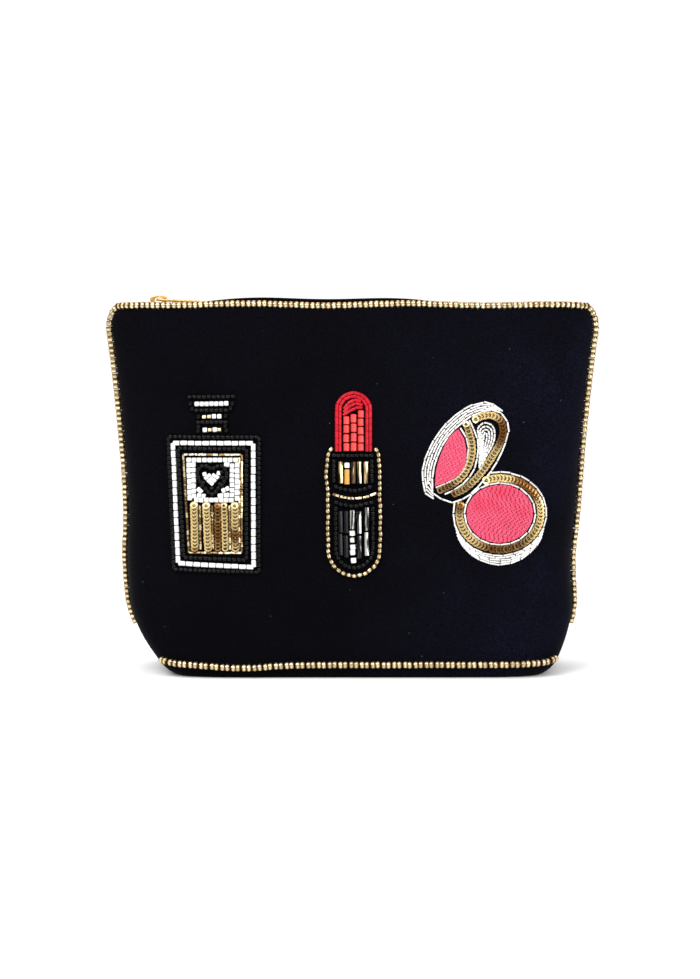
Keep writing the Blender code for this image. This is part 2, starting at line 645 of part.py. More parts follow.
def main():
    for stale in list(bpy.data.objects):
        bpy.data.objects.remove(stale)
    finishes = {
        "velvet": material("black_velvet", (0.006, 0.006, 0.009), 0.95),
        "felt": material("white_interlining", (0.75, 0.74, 0.70), 0.9),
        "lining": material("black_satin", (0.02, 0.02, 0.025), 0.45),
        "board": material("grey_board", (0.35, 0.33, 0.30), 0.85),
        "tape": material("black_zip_tape", (0.01, 0.01, 0.014), 0.8),
        "brass": material("brass", (0.80, 0.58, 0.25), 0.25, 1.0),
        "gilt": material("gilt", (0.85, 0.62, 0.28), 0.22, 1.0),
        "gold_glass": material("gold_lined_glass", (0.86, 0.70, 0.38), 0.18, 0.8),
        "black_glass": material("black_glass", (0.01, 0.01, 0.01), 0.12),
        "white_glass": material("white_glass", (0.9, 0.9, 0.9), 0.15),
        "red_glass": material("red_glass", (0.65, 0.02, 0.03), 0.3),
        "gunmetal": material("gunmetal_glass", (0.12, 0.12, 0.13), 0.15, 0.8),
        "silver": material("silver_wire", (0.85, 0.85, 0.86), 0.25, 1.0),
        "pink_thread": material("pink_thread", (0.75, 0.10, 0.20), 0.5),
    }
    bodies = {}
    pivots = {
        "base": (0, 0, 0),
        "front": (0, -BASE_HALF_DEPTH, SEAM_HEIGHT),
        "back": (0, BASE_HALF_DEPTH, SEAM_HEIGHT),
        "slider": (SLIDER_X, 0, CHAIN_HEIGHT),
        "pull": (0, 0, 0),
    }
    for word, place in pivots.items():
        bodies[word] = bpy.data.objects.new(f"{word}_body", None)
        bodies[word].location = place
        bpy.context.scene.collection.objects.link(bodies[word])
    build_base(finishes, bodies["base"])
    for word, side in (("front", 1), ("back", -1)):
        build_walls(word, side, finishes, bodies[word])
        build_zip_half(word, side, finishes, bodies[word])
    stop_start = TEETH_START + TEETH_COUNT * TOOTH_PITCH
    stop = box(
        (stop_start, -TOOTH_ROOT, CHAIN_HEIGHT - TOOTH_THICKNESS / 2),
        (stop_start + BOTTOM_STOP_LENGTH, TOOTH_ROOT, CHAIN_HEIGHT + TOOTH_THICKNESS / 2),
    )
    add("zip_bottom_stop", stop, finishes["brass"], bodies["base"])
    bodies["pull"].location = build_slider(finishes, bodies["slider"])
    build_pull(bodies["pull"].location, finishes, bodies["pull"])
    build_edging(finishes, bodies)
    build_perfume(finishes, bodies["front"])
    build_lipstick(finishes, bodies["front"])
    build_compact(finishes, bodies["front"])


main()
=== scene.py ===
"""Zipped velvet makeup bag with beaded edges and three beaded motifs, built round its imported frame.

Metres, +Z up. The front faces -Y and +X is to the right. Every cloth layer and bead row follows one
shape, the class Form, whose sizes are in the sidebar. Beads are small meshes strung along lines.
"""

import math
import random

import bmesh
import bpy
from bpy.props import FloatProperty, FloatVectorProperty, PointerProperty
from mathutils import Matrix, Vector, noise


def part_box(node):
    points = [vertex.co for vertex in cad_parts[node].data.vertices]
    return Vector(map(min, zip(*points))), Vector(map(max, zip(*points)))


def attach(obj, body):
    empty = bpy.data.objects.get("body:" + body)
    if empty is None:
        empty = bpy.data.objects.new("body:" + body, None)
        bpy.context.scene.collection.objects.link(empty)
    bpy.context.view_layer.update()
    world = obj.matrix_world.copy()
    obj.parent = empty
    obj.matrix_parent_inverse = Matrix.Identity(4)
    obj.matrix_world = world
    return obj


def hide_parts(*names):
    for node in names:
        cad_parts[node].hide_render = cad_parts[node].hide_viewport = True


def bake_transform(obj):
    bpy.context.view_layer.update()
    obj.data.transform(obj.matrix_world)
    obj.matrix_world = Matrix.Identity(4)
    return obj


bl_info = {
    "name": "Makeup bag",
    "version": (1, 0, 0),
    "blender": (4, 5, 0),
    "location": "3D View > Sidebar > Makeup bag",
    "description": "Builds a beaded velvet makeup bag piece by piece",
    "category": "Add Mesh",
}

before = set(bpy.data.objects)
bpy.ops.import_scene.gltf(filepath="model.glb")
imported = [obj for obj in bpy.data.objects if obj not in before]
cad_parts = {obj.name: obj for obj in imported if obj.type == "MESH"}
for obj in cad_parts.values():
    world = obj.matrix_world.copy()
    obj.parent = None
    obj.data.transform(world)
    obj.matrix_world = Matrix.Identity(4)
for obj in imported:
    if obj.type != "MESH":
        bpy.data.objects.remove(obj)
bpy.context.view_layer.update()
MM = 0.001
LEFT, RIGHT = -1, 1
FRONT, BACK = -1, 1
FACING_WORDS = {FRONT: "front", BACK: "back"}
SIDE_WORDS = {LEFT: "left", RIGHT: "right"}

SEQUIN_TILT = math.radians(-24)  # each sequin's leading edge lies over the next

# Where the cloth of the mouth would start to follow the front or back as the bag opens, and where it
# would do so fully; bend looks these up but does not use them. The closed slider stands at the left end
# and the open one at the right end, so they differ.
BENDS = {LEFT: (-70.0 * MM, -24.0 * MM), RIGHT: (54.0 * MM, 14.0 * MM)}


def top_of(node):
    """The upper corner of a node's packed box."""
    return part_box(node)[1]


def length(name, description, default):
    """A sidebar length in metres."""
    return FloatProperty(name=name, description=description, default=default, unit="LENGTH", precision=5)


def colour(name, description, default):
    """A sidebar colour."""
    return FloatVectorProperty(
        name=name, description=description, default=default, subtype="COLOR", size=3, min=0.0, max=1.0
    )


class BagShape(bpy.types.PropertyGroup):
    """Outline of the bag."""

    rim_height: length("Rim height", "Height of the cloth at the mouth", top_of("front_panel").z)
    shoulder_height: length("Shoulder height", "Height where the bag is widest", 119 * MM)
    shoulder_half_width: length("Shoulder half width", "Half the widest width", top_of("front_panel").x)
    rim_narrowing: length("Rim narrowing", "How far each side comes in above the shoulder", 2.6 * MM)
    waist_height: length("Waist height", "Height where the sides turn in to the base", 26 * MM)
    waist_half_width: length("Waist half width", "Half the width there", 76.8 * MM)
    foot_half_width: length("Foot half width", "Half the width of the base", 65.6 * MM)
    seam_height: length("Seam height", "Height of the base seam at the front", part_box("front_panel")[0].z)
    side_seam_rise: length("Side seam rise", "How much higher the base reaches at the sides", 11 * MM)
    base_half_depth: length("Base half depth", "Half the depth at the base", top_of("base_panel").y)
    rim_half_depth: length("Rim half depth", "Half the depth at the mouth", 8 * MM)
    bulge: length("Bulge", "How much the front and back swell between base and rim", 2 * MM)
    velvet: length("Velvet", "Thickness of the velvet", 0.8 * MM)
    lining: length("Lining", "Thickness of the lining", 0.4 * MM)
    interlining: length("Interlining", "Thickness of the interlining", 0.6 * MM)


class BagBeads(bpy.types.PropertyGroup):
    """Sizes of the beads, sequins, wire and thread."""

    edging_width: length("Edging bead width", "Diameter of the gold beads on the seams", 2.45 * MM)
    edging_pitch: length("Edging bead pitch", "Distance from one edging bead to the next", 1.84 * MM)
    seed_width: length("Seed bead width", "Diameter of the black seed beads", 1.5 * MM)
    seed_pitch: length("Seed bead pitch", "Distance from one seed bead to the next", 1.62 * MM)
    white_width: length("White bead width", "Diameter of the white cylinder beads", 1.6 * MM)
    fine_width: length("Fine tube width", "Diameter of the thin gold tubes", 0.9 * MM)
    bugle_width: length("Bugle width", "Diameter of the long tubes of the lipstick", 1.85 * MM)
    sequin_width: length("Sequin width", "Diameter of the cupped sequins", 2.75 * MM)
    sequin_pitch: length("Sequin pitch", "Distance from one sequin to the next", 1.25 * MM)
    wire_width: length("Wire width", "Diameter of the coiled silver wire", 0.7 * MM)
    thread_width: length("Thread width", "Width of one stitch of pink thread", 0.55 * MM)


class BagColours(bpy.types.PropertyGroup):
    """Colours of the cloth, beads and metal."""

    velvet: colour("Velvet", "Pile of the velvet", (0.0022, 0.0021, 0.0028))
    # The painted sheen: the lighter, bluer velvet that is painted towards the right, where the pile catches
    # the light.
    velvet_painted_sheen: colour("Velvet sweep", "Where the pile is brushed the other way", (0.0054, 0.0058, 0.0150))
    lining: colour("Lining", "Satin inside the bag", (0.012, 0.012, 0.016))
    gold_glass: colour("Gold beads", "Bright belly of the gold-lined beads", (0.90, 0.75, 0.45))
    # Painted shade at the ends of the gold beads, where they meet, over the amber of their glass.
    gold_ends_painted_shade: colour("Gold bead ends", "Amber ends of the gold-lined beads", (0.13, 0.065, 0.02))
    gilt: colour("Gilt", "Sequins and gold tubes", (1.0, 0.85, 0.47))
    # Painted shade: the gilt of sequins that are painted dark as if turned away from the light.
    gilt_painted_shade: colour("Dark gilt", "The darkest sequins", (0.34, 0.16, 0.04))
    red: colour("Red tubes", "Outline of the lipstick", (0.50, 0.006, 0.018))
    coral: colour("Coral tubes", "Middle of the lipstick", (0.72, 0.055, 0.050))
    silver: colour("Silver wire", "Coiled wire of the compact", (0.88, 0.87, 0.85))
    pink: colour("Pink thread", "Satin stitch of the compact", (0.70, 0.092, 0.175))
    # The deeper pink of darker patches that fall at random over the satin stitch.
    pink_deep: colour("Deep pink thread", "Where the stitches are shaded", (0.66, 0.022, 0.065))
    brass: colour("Brass", "Zip teeth, slider and stops", (0.78, 0.48, 0.15))


class BagStage(bpy.types.PropertyGroup):
    """Camera, lights and floor."""

    distance: length("Camera distance", "From the camera to the middle of the bag", 1.04)
    aim_height: length("Aim height", "Height that the camera looks at", 62.5 * MM)
    elevation: FloatProperty(
        name="Elevation",
        description="Angle of the camera above the table",
        default=math.radians(5.0),
        unit="ROTATION",
    )
    lens: FloatProperty(name="Lens", description="Focal length in millimetres", default=110.0)
    key: FloatProperty(name="Key light", description="Power of the large light", default=8.0, unit="POWER")
    fill: FloatProperty(name="Fill light", description="Power of the small light", default=3.0, unit="POWER")
    world: FloatProperty(name="Surroundings", description="Brightness of the white room", default=1.0)


class Form:
    """The bag's shape. A share is 0 at the middle of the front or back and 1 at the side seam."""

    def __init__(self, sizes):
        self.rim = sizes.rim_height
        self.shoulder = sizes.shoulder_height
        self.shoulder_half = sizes.shoulder_half_width
        self.narrowing = sizes.rim_narrowing
        self.waist = sizes.waist_height
        self.waist_half = sizes.waist_half_width
        self.foot_half = sizes.foot_half_width
        self.seam = sizes.seam_height
        self.side_rise = sizes.side_seam_rise
        self.base_half_depth = sizes.base_half_depth
        self.rim_half_depth = sizes.rim_half_depth
        self.bulge = sizes.bulge
        self.velvet = sizes.velvet
        self.interlining = sizes.interlining
        self.lining = sizes.lining

    def shift(self, z):
        """A filled bag is never quite even: it sits to the right on its base and to the left at the waist."""
        foot = 2.1 * MM * math.exp(-((z / (12.5 * MM)) ** 2))
        return foot - 1.2 * MM * math.exp(-(((z - 38 * MM) / (13 * MM)) ** 2))

    def half_width(self, z, side):
        """Half the width at a height: it narrows to the foot and a little to the rim."""
        if z < self.waist:
            below = (self.waist - max(z, 0.0)) / self.waist
            return self.waist_half - (self.waist_half - self.foot_half) * below**1.8 + side * self.shift(z)
        above = min((z - self.waist) / (self.shoulder - self.waist), 1.0)
        width = self.waist_half + (self.shoulder_half - self.waist_half) * above**1.9
        past = max((z - self.shoulder) / (self.rim - self.shoulder), 0.0)
        return width - self.narrowing * past**2 + side * self.shift(z)

    def height_share(self, z):
        """How far up from the base seam a height is, from 0 to 1."""
        return min(max((z - self.seam) / (self.rim - self.seam), 0.0), 1.0)

    def half_depth(self, z):
        """Half the depth in the middle of the bag at a height."""
        share = self.height_share(z)
        swell = self.bulge * math.sin(math.pi * share)
        return self.base_half_depth + (self.rim_half_depth - self.base_half_depth) * share + swell

    def powers(self, z):
        """How boxy the plan is across and in depth: a box at the base, pinched at the side seams above."""
        share = self.height_share(z)
        return 9.0 + share - 4.0 * math.sin(math.pi * share), 1.6 + 2.9 * (1 - share) ** 3

    def depth_share(self, share, z):
        """The part of the depth left at a share of the half width."""
        across, deep = self.powers(z)
        return max(1 - min(share, 1.0) ** across, 0.0) ** (1 / deep)

    def unevenness(self, x, z):
        """Cloth is never quite flat: soft hollows a few centimetres wide, none at the seams."""
        place = Vector((x / (34 * MM), 0.3, z / (26 * MM)))
        inside = math.sin(math.pi * self.height_share(z)) ** 0.7
        return 0.55 * MM * noise.noise(place) * inside

    def seam_at(self, x, share):
        """Height of the base seam."""
        dip = 1.1 * MM * math.exp(-(((x + 44 * MM) / (15 * MM)) ** 2))
        rise = self.side_rise * (1 - self.depth_share(share, self.seam)) ** 1.5
        return self.seam - dip + rise

    def rim_at(self, x, facing):
        """The mouth waves a little, drops at the corners, and the back stands higher left of the middle."""
        wave = 0.35 * MM * math.sin(math.tau * (x + 48 * MM) / (53 * MM))
        corner = 1.6 * MM * min(abs(x) / (81 * MM), 1.0) ** 14
        lift = 2.8 * MM * math.exp(-(((x + 12 * MM) / (44 * MM)) ** 4)) if facing == BACK else 0.0
        return self.rim + wave * (1 - min(abs(x) / (81 * MM), 1.0) ** 4) - corner + lift

    def point(self, share, z, side, facing, inset=0.0):
        """A spot on the cloth, or inset below it."""
        x = side * (self.half_width(z, side) - inset) * share
        y = facing * (self.half_depth(z) - inset) * self.depth_share(share, z)
        swell = facing * self.unevenness(x, z) * (1 - share**6)
        return Vector((x, y + swell, z))

    def panel(self, share, rise, side, facing, inset=0.0, below_rim=0.0):
        """A point of the front or back: rise is 0 at the base seam and 1 at the rim."""
        near = side * self.waist_half * share
        foot = self.seam_at(near, share)
        z = foot + (self.rim_at(near, facing) - below_rim - foot) * rise
        return self.point(share, z, side, facing, inset)

    def outward(self, share, z, side, facing):
        """The level direction that points out of the bag."""
        across, deep = self.powers(z)
        depth = self.depth_share(share, z)
        along_x = side * across * share ** (across - 1) / self.half_width(z, side)
        along_y = facing * deep * depth ** (deep - 1) / self.half_depth(z)
        return Vector((along_x, along_y, 0.0)).normalized()

    def front(self, x, z, lift):
        """A point lifted off the front, and the direction straight out of the cloth there."""

        def skin(x, z):
            side = RIGHT if x > 0 else LEFT
            return self.point(abs(x) / self.half_width(z, side), z, side, FRONT)

        place, step = skin(x, z), 0.5 * MM
        outward = (skin(x + step, z) - place).cross(skin(x, z + step) - place).normalized()
        return place + outward * lift, outward


# Materials


class Finish:
    """A material being wired: its Principled shader and a short way to add and join nodes."""

    def __init__(self, name, base, roughness, metallic=0.0, **sockets):
        self.material = bpy.data.materials.new(name)
        self.material.use_nodes = True
        self.tree = self.material.node_tree
        self.shader = self.tree.nodes["Principled BSDF"]
        self.shader.inputs["Base Color"].default_value = (*base, 1.0)
        self.shader.inputs["Roughness"].default_value = roughness
        self.shader.inputs["Metallic"].default_value = metallic
        for socket, value in sockets.items():
            self.shader.inputs[socket.replace("_", " ")].default_value = value

    def node(self, kind, settings=None, **sockets):
        made = self.tree.nodes.new(kind)
        for key, value in (settings or {}).items():
            setattr(made, key, value)
        for socket, value in sockets.items():
            self.join(value, made.inputs[socket.replace("_", " ")])
        return made

    def join(self, value, socket):
        if isinstance(value, bpy.types.NodeSocket):
            self.tree.links.new(value, socket)
        else:
            socket.default_value = value

    def place(self):
        """Object coordinates, which are the same as the bag's own."""
        return self.node("ShaderNodeTexCoord").outputs["Object"]

    def noise(self, scale, detail=3.0, roughness=0.55, stretch=(1.0, 1.0, 1.0)):
        mapped = self.node("ShaderNodeMapping", Vector=self.place(), Scale=stretch)
        made = self.node(
            "ShaderNodeTexNoise",
            Vector=mapped.outputs["Vector"],
            Scale=scale,
            Detail=detail,
            Roughness=roughness,
        )
        return made.outputs["Fac"]

    def ramp(self, value, low, high, to_low=0.0, to_high=1.0):
        made = self.node(
            "ShaderNodeMapRange",
            {"interpolation_type": "SMOOTHSTEP"},
            Value=value,
            From_Min=low,
            From_Max=high,
            To_Min=to_low,
            To_Max=to_high,
        )
        return made.outputs["Result"]

    def mix(self, share, first, second):
        made = self.node("ShaderNodeMix", {"data_type": "RGBA"})
        self.join(share, made.inputs[0])
        for value, socket in ((first, made.inputs[6]), (second, made.inputs[7])):
            self.join(value if isinstance(value, bpy.types.NodeSocket) else (*value, 1.0), socket)
        return made.outputs[2]

    def maths(self, operation, first, second):
        made = self.node("ShaderNodeMath", {"operation": operation})
        self.join(first, made.inputs[0])
        self.join(second, made.inputs[1])
        return made.outputs[0]

    def attribute(self, name):
        return self.node("ShaderNodeAttribute", {"attribute_name": name}).outputs["Fac"]

    def coloured(self, value):
        self.join(value, self.shader.inputs["Base Color"])

    def roughened(self, value):
        self.join(value, self.shader.inputs["Roughness"])

    def bumped(self, height, distance, strength=1.0):
        made = self.node("ShaderNodeBump", Height=height, Distance=distance, Strength=strength)
        self.join(made.outputs["Normal"], self.shader.inputs["Normal"])


def velvet_finish(colours):
    """Black pile velvet, with painted sheen towards the right."""
    made = Finish(
        "black_velvet",
        colours.velvet,
        1.0,
        Sheen_Weight=0.022,
        Sheen_Roughness=0.32,
        Specular_IOR_Level=0.03,
    )
    # Painted sheen: towards the right, in soft patches, the velvet is painted lighter and bluer where the
    # pile would catch the light.
    sheen_patches = made.ramp(made.noise(26.0, 4.0), 0.38, 0.66)
    across = made.node("ShaderNodeSeparateXYZ", Vector=made.place()).outputs["X"]
    sheen_rightwards = made.ramp(across, -10 * MM, 85 * MM, 0.15, 1.0)
    painted_sheen_share = made.maths("MULTIPLY", sheen_rightwards, made.maths("ADD", sheen_patches, 0.35))
    cloth = made.mix(painted_sheen_share, colours.velvet, colours.velvet_painted_sheen)
    nap = made.ramp(made.noise(2600.0, 2.0), 0.35, 0.7)
    deep = made.mix(nap, (0.0013, 0.0012, 0.002), cloth)
    specks = made.node("ShaderNodeTexVoronoi", Vector=made.place(), Scale=210.0).outputs["Distance"]
    patches = made.ramp(made.noise(60.0, 1.0), 0.54, 0.62)
    lint = made.maths("MULTIPLY", made.ramp(specks, 0.055, 0.03), patches)
    made.coloured(made.mix(lint, deep, (0.05, 0.055, 0.08)))
    made.bumped(made.noise(2600.0, 3.0), 0.25 * MM, 0.8)
    return made.material


def satin_finish(colours):
    """Black ribbed satin."""
    made = Finish("black_satin", colours.lining, 0.38, Sheen_Weight=0.1, Specular_IOR_Level=0.6)
    ribs = made.noise(900.0, 2.0, stretch=(0.25, 0.25, 4.0))
    made.coloured(made.mix(made.ramp(ribs, 0.3, 0.7), (0.006, 0.006, 0.008), colours.lining))
    made.roughened(made.ramp(made.noise(40.0), 0.3, 0.7, 0.32, 0.46))
    made.bumped(ribs, 0.05 * MM, 0.6)
    return made.material


def felt_finish():
    """White fibrous interlining."""
    made = Finish("white_interlining", (0.72, 0.71, 0.67), 0.95)
    fibres = made.noise(1400.0, 6.0, 0.7, (1.0, 1.0, 0.3))
    made.coloured(made.mix(made.ramp(fibres, 0.3, 0.7), (0.58, 0.56, 0.52), (0.82, 0.81, 0.77)))
    made.bumped(fibres, 0.12 * MM)
    return made.material


def board_finish():
    """Grey board under the base."""
    made = Finish("grey_board", (0.34, 0.32, 0.29), 0.9)
    flecks = made.noise(700.0, 6.0, 0.7)
    made.coloured(made.mix(made.ramp(flecks, 0.35, 0.7), (0.22, 0.21, 0.19), (0.42, 0.40, 0.36)))
    made.bumped(flecks, 0.06 * MM)
    return made.material


def tape_finish():
    """Woven tape: warp ribs along the zip crossed by a finer weft, on the tape's own map in metres."""
    made = Finish("black_zip_tape", (0.012, 0.012, 0.016), 0.8, Sheen_Weight=0.15)
    own = made.node("ShaderNodeUVMap", {"uv_map": "cloth"}).outputs["UV"]
    waves = []
    for direction, scale in (("Y", 700.0), ("X", 420.0)):
        bands = {"bands_direction": direction}
        wave = made.node("ShaderNodeTexWave", bands, Vector=own, Scale=scale, Distortion=0.6)
        waves.append(wave.outputs["Fac"])
    weave = made.maths("MULTIPLY", *waves)
    made.coloured(made.mix(weave, (0.005, 0.005, 0.007), (0.024, 0.024, 0.030)))
    made.bumped(weave, 0.12 * MM)
    return made.material


def bead_finish(name, belly, ends, roughness, metallic, spread, **sockets):
    """Glass beads: each has its own tone, and they darken from the belly to the threaded ends with painted
    shade where the beads meet, which on the gold-lined beads lies over the amber of the glass.
    """
    made = Finish(name, belly, roughness, metallic, **sockets)
    # Painted shade: each bead is painted darker towards its threaded ends.
    painted_shade = made.ramp(made.attribute("painted_shade"), 0.15, 0.85)
    glass = made.mix(painted_shade, belly, ends)
    dim = tuple(channel * (1 - spread) for channel in belly)
    tone = made.ramp(made.attribute("tone"), 0.0, 1.0, 0.0, 0.75)
    made.coloured(made.mix(tone, glass, made.mix(painted_shade, dim, ends)))
    made.roughened(made.ramp(made.noise(1500.0, 2.0), 0.3, 0.7, roughness * 0.8, roughness * 1.35))
    made.bumped(made.noise(1100.0, 2.0), 0.04 * MM, 0.6)
    return made.material


def gilt_finish(name, bright, dark, roughness):
    """Stamped metal, bright or dark by the tone of each piece, a painted reflection of how each faces the
    light, and darkened with painted shade in the cup round its hole.
    """
    made = Finish(name, bright, roughness, 0.7)
    # Painted reflection: a higher tone paints a sequin darker, as if turned from the light.
    rim = made.mix(made.ramp(made.attribute("tone"), 0.2, 0.85), bright, dark)
    # Painted shade: each sequin is painted dark brown in the cup round its hole, where the one above shades
    # it.
    painted_cup_shade = made.ramp(made.attribute("painted_shade"), 0.22, 0.56)
    made.coloured(made.mix(painted_cup_shade, tuple(channel * 0.25 for channel in dark), rim))
    made.roughened(made.ramp(made.noise(700.0, 2.0), 0.3, 0.7, roughness * 0.8, roughness * 1.4))
    made.bumped(made.noise(500.0, 2.0), 0.02 * MM, 0.4)
    return made.material


def lined_finish(name, dark, lit, stretch):
    """Lined glass tubes: dark, with bright streaks that are partly the lining that shows and partly painted
    highlight, most on those of high tone, and painted shade at their ends.
    """
    made = Finish(name, dark, 0.2, 0.9, Coat_Weight=0.15, Coat_Roughness=0.05)
    streak = made.noise(900.0, 1.0, stretch=stretch)
    tone = made.maths("MULTIPLY", made.maths("SUBTRACT", made.attribute("tone"), 0.5), 0.5)
    # Painted highlight: bright streaks painted along the tubes, partly the lining that shows.
    painted_streaks = made.ramp(made.maths("ADD", streak, tone), 0.44, 0.60)
    glass = made.mix(painted_streaks, dark, lit)
    # Painted shade: the ends of each tube are painted darker.
    ends = made.ramp(made.attribute("painted_shade"), 0.5, 1.0)
    made.coloured(made.mix(ends, glass, tuple(channel * 0.3 for channel in dark)))
    made.bumped(streak, 0.04 * MM, 0.5)
    return made.material


def wire_finish(colours):
    """Silver wire wound in a tight coil, with painted glints and painted shade between the turns so that it
    glitters along its length, and painted shade down its sides.
    """
    made = Finish("silver_wire", colours.silver, 0.42, 0.3)
    coils = []
    for turned in ((0.0, 0.0, 0.0), (0.0, math.radians(60), 0.0), (0.0, math.radians(-60), 0.0)):
        mapped = made.node("ShaderNodeMapping", Vector=made.place(), Rotation=turned)
        turns = mapped.outputs["Vector"]
        bands = {"bands_direction": "X"}
        wave = made.node("ShaderNodeTexWave", bands, Vector=turns, Scale=900.0, Distortion=1.5)
        coils.append(wave.outputs["Fac"])
    coil = made.maths("MAXIMUM", made.maths("MAXIMUM", coils[0], coils[1]), coils[2])
    tone = made.ramp(made.attribute("tone"), 0.3, 1.0, 0.0, 0.5)
    bright = made.mix(tone, colours.silver, (0.55, 0.52, 0.48))
    # Painted glints and shade: the coil's crests are painted bright and the hollows between its turns darker.
    painted_coil_glints = made.mix(made.ramp(coil, 0.3, 0.7), (0.50, 0.48, 0.46), bright)
    # Painted shade: each piece of wire is painted dark down its sides and at its ends.
    made.coloured(made.mix(made.attribute("painted_shade"), painted_coil_glints, (0.03, 0.028, 0.026)))
    made.bumped(coil, 0.06 * MM, 0.6)
    return made.material


def thread_finish(colours):
    """Twisted floss: each stitch has its own tone, with darker patches here and there, and painted shade at
    the stitch ends and on the padding.
    """
    made = Finish(
        "pink_thread",
        colours.pink,
        0.6,
        Sheen_Weight=0.2,
        Sheen_Roughness=0.4,
        Specular_IOR_Level=0.3,
    )
    patch = made.ramp(made.noise(85.0, 2.0), 0.48, 0.72, 0.0, 0.8)
    tone = made.ramp(made.attribute("tone"), 0.0, 1.0, 0.0, 0.4)
    patchy_pink = made.mix(made.maths("MAXIMUM", patch, tone), colours.pink, colours.pink_deep)
    # Painted shade: the stitch ends and the padding under them are painted dark red-brown.
    made.coloured(made.mix(made.attribute("painted_shade"), patchy_pink, (0.26, 0.008, 0.035)))
    fibres = made.noise(2200.0, 2.0, stretch=(0.2, 1.0, 1.0))
    made.bumped(fibres, 0.06 * MM)
    return made.material


def brass_finish(colours):
    """Slightly dull brass of the zip."""
    made = Finish("brass", colours.brass, 0.34, 1.0)
    dull = made.ramp(made.noise(320.0, 4.0), 0.45, 0.75)
    made.coloured(made.mix(dull, colours.brass, (0.46, 0.27, 0.08)))
    made.roughened(made.ramp(made.noise(700.0, 3.0), 0.3, 0.7, 0.26, 0.44))
    made.bumped(made.noise(1500.0, 2.0), 0.02 * MM, 0.5)
    return made.material


def finishes(scene):
    """Every material by its slot name, made once and kept in the file."""
    colours = scene.bag_colours
    makers = {
        "velvet": lambda: velvet_finish(colours),
        "lining": lambda: satin_finish(colours),
        "felt": felt_finish,
        "board": board_finish,
        "tape": tape_finish,
        # The second colour of each bead finish is its painted shade, at the ends where the beads meet.
        "gold_glass": lambda: bead_finish(
            "gold_lined_glass",
            colours.gold_glass,
            colours.gold_ends_painted_shade,
            0.14,
            0.9,
            0.45,
            Specular_Tint=(0.45, 0.20, 0.06, 1.0),
        ),
        "gold_tube": lambda: lined_finish(
            "gold_lined_tubes", (0.20, 0.11, 0.045), colours.gold_glass, (1.0, 1.0, 1.0)
        ),
        "smoked_gold": lambda: lined_finish(
            "smoked_gold_tubes", (0.03, 0.016, 0.006), (0.80, 0.56, 0.27), (1.0, 1.0, 0.07)
        ),
        "amber_glass": lambda: bead_finish(
            "amber_glass", (0.60, 0.30, 0.045), (0.15, 0.06, 0.01), 0.3, 0.0, 0.1
        ),
        "black_glass": lambda: bead_finish(
            "black_glass",
            (0.002, 0.002, 0.003),
            (0.001, 0.001, 0.001),
            0.12,
            0.0,
            0.4,
            Specular_IOR_Level=0.15,
        ),
        "white_glass": lambda: bead_finish(
            "white_glass", (0.84, 0.84, 0.83), (0.16, 0.16, 0.18), 0.25, 0.0, 0.05
        ),
        "red_glass": lambda: bead_finish(
            "red_glass", colours.red, (0.10, 0.001, 0.004), 0.36, 0.0, 0.3, Specular_IOR_Level=0.15
        ),
        "coral_glass": lambda: bead_finish(
            "coral_glass", colours.coral, (0.22, 0.006, 0.008), 0.32, 0.0, 0.2, Specular_IOR_Level=0.3
        ),
        "gunmetal": lambda: lined_finish(
            "gunmetal_tubes", (0.010, 0.010, 0.012), (0.66, 0.64, 0.60), (1.0, 1.0, 0.06)
        ),
        "gilt": lambda: gilt_finish("gilt", colours.gilt, colours.gilt_painted_shade, 0.2),
        "silver": lambda: wire_finish(colours),
        "pink_thread": lambda: thread_finish(colours),
        "brass": lambda: brass_finish(colours),
    }
    made = {}
    for slot, maker in makers.items():
        kept = bpy.data.materials.get(f"bag_{slot}")
        if kept is None:
            kept = maker()
            kept.name = f"bag_{slot}"
        made[slot] = kept
    return made


# Lines


def curve_through(knots, steps=6, closed=False):
    """A smooth line through a few (x, z) knots, as Catmull and Rom drew it."""
    count = len(knots)
    spans = count if closed else count - 1
    line = []
    for span in range(spans):
        picks = [span - 1, span, span + 1, span + 2]
        if closed:
            a, b, c, d = (knots[pick % count] for pick in picks)
        else:
            a, b, c, d = (knots[min(max(pick, 0), count - 1)] for pick in picks)
        for step in range(steps):
            t = step / steps
            place = []
            for p, q, r, s in zip(a, b, c, d):
                square, cube = 2 * p - 5 * q + 4 * r - s, 3 * q - p - 3 * r + s
                place.append(0.5 * (2 * q + (r - p) * t + square * t**2 + cube * t**3))
            line.append(tuple(place))
    return line if closed else [*line, knots[-1]]


def arc(centre, radii, first, last, steps=24):
    """Points along an upright ellipse, angles in degrees from +X."""
    turns = [math.radians(first + (last - first) * step / steps) for step in range(steps + 1)]
    return [(centre[0] + radii[0] * math.cos(turn), centre[1] + radii[1] * math.sin(turn)) for turn in turns]


def in_mm(*points):
    """Points (x, z) written in millimetres, in metres."""
    return [(x * MM, z * MM) for x, z in points]


def stations(line, pitch, closed=False, ends=0.5):
    """Evenly spaced (place, direction) along a line of points, a whole number of them, as near the pitch
    as they fit. ends is how far, in pitches, the first and last stand from the line's ends."""
    points = [Vector(point) for point in line]
    if closed:
        points.append(points[0])
    runs = [(b - a).length for a, b in zip(points, points[1:])]
    total = sum(runs)
    count = max(round(total / pitch + (0 if closed else 1 - 2 * ends)), 1)
    gap = total / count if closed else total / max(count - 1 + 2 * ends, 1)
    found, run, travelled = [], 0, 0.0
    for number in range(count):
        goal = gap * (number if closed else number + ends)
        while run < len(runs) - 1 and travelled + runs[run] < goal:
            travelled += runs[run]
            run += 1
        share = (goal - travelled) / max(runs[run], 1e-9)
        start, end = points[run], points[run + 1]
        found.append((start.lerp(end, share), (end - start).normalized()))
    return found, gap


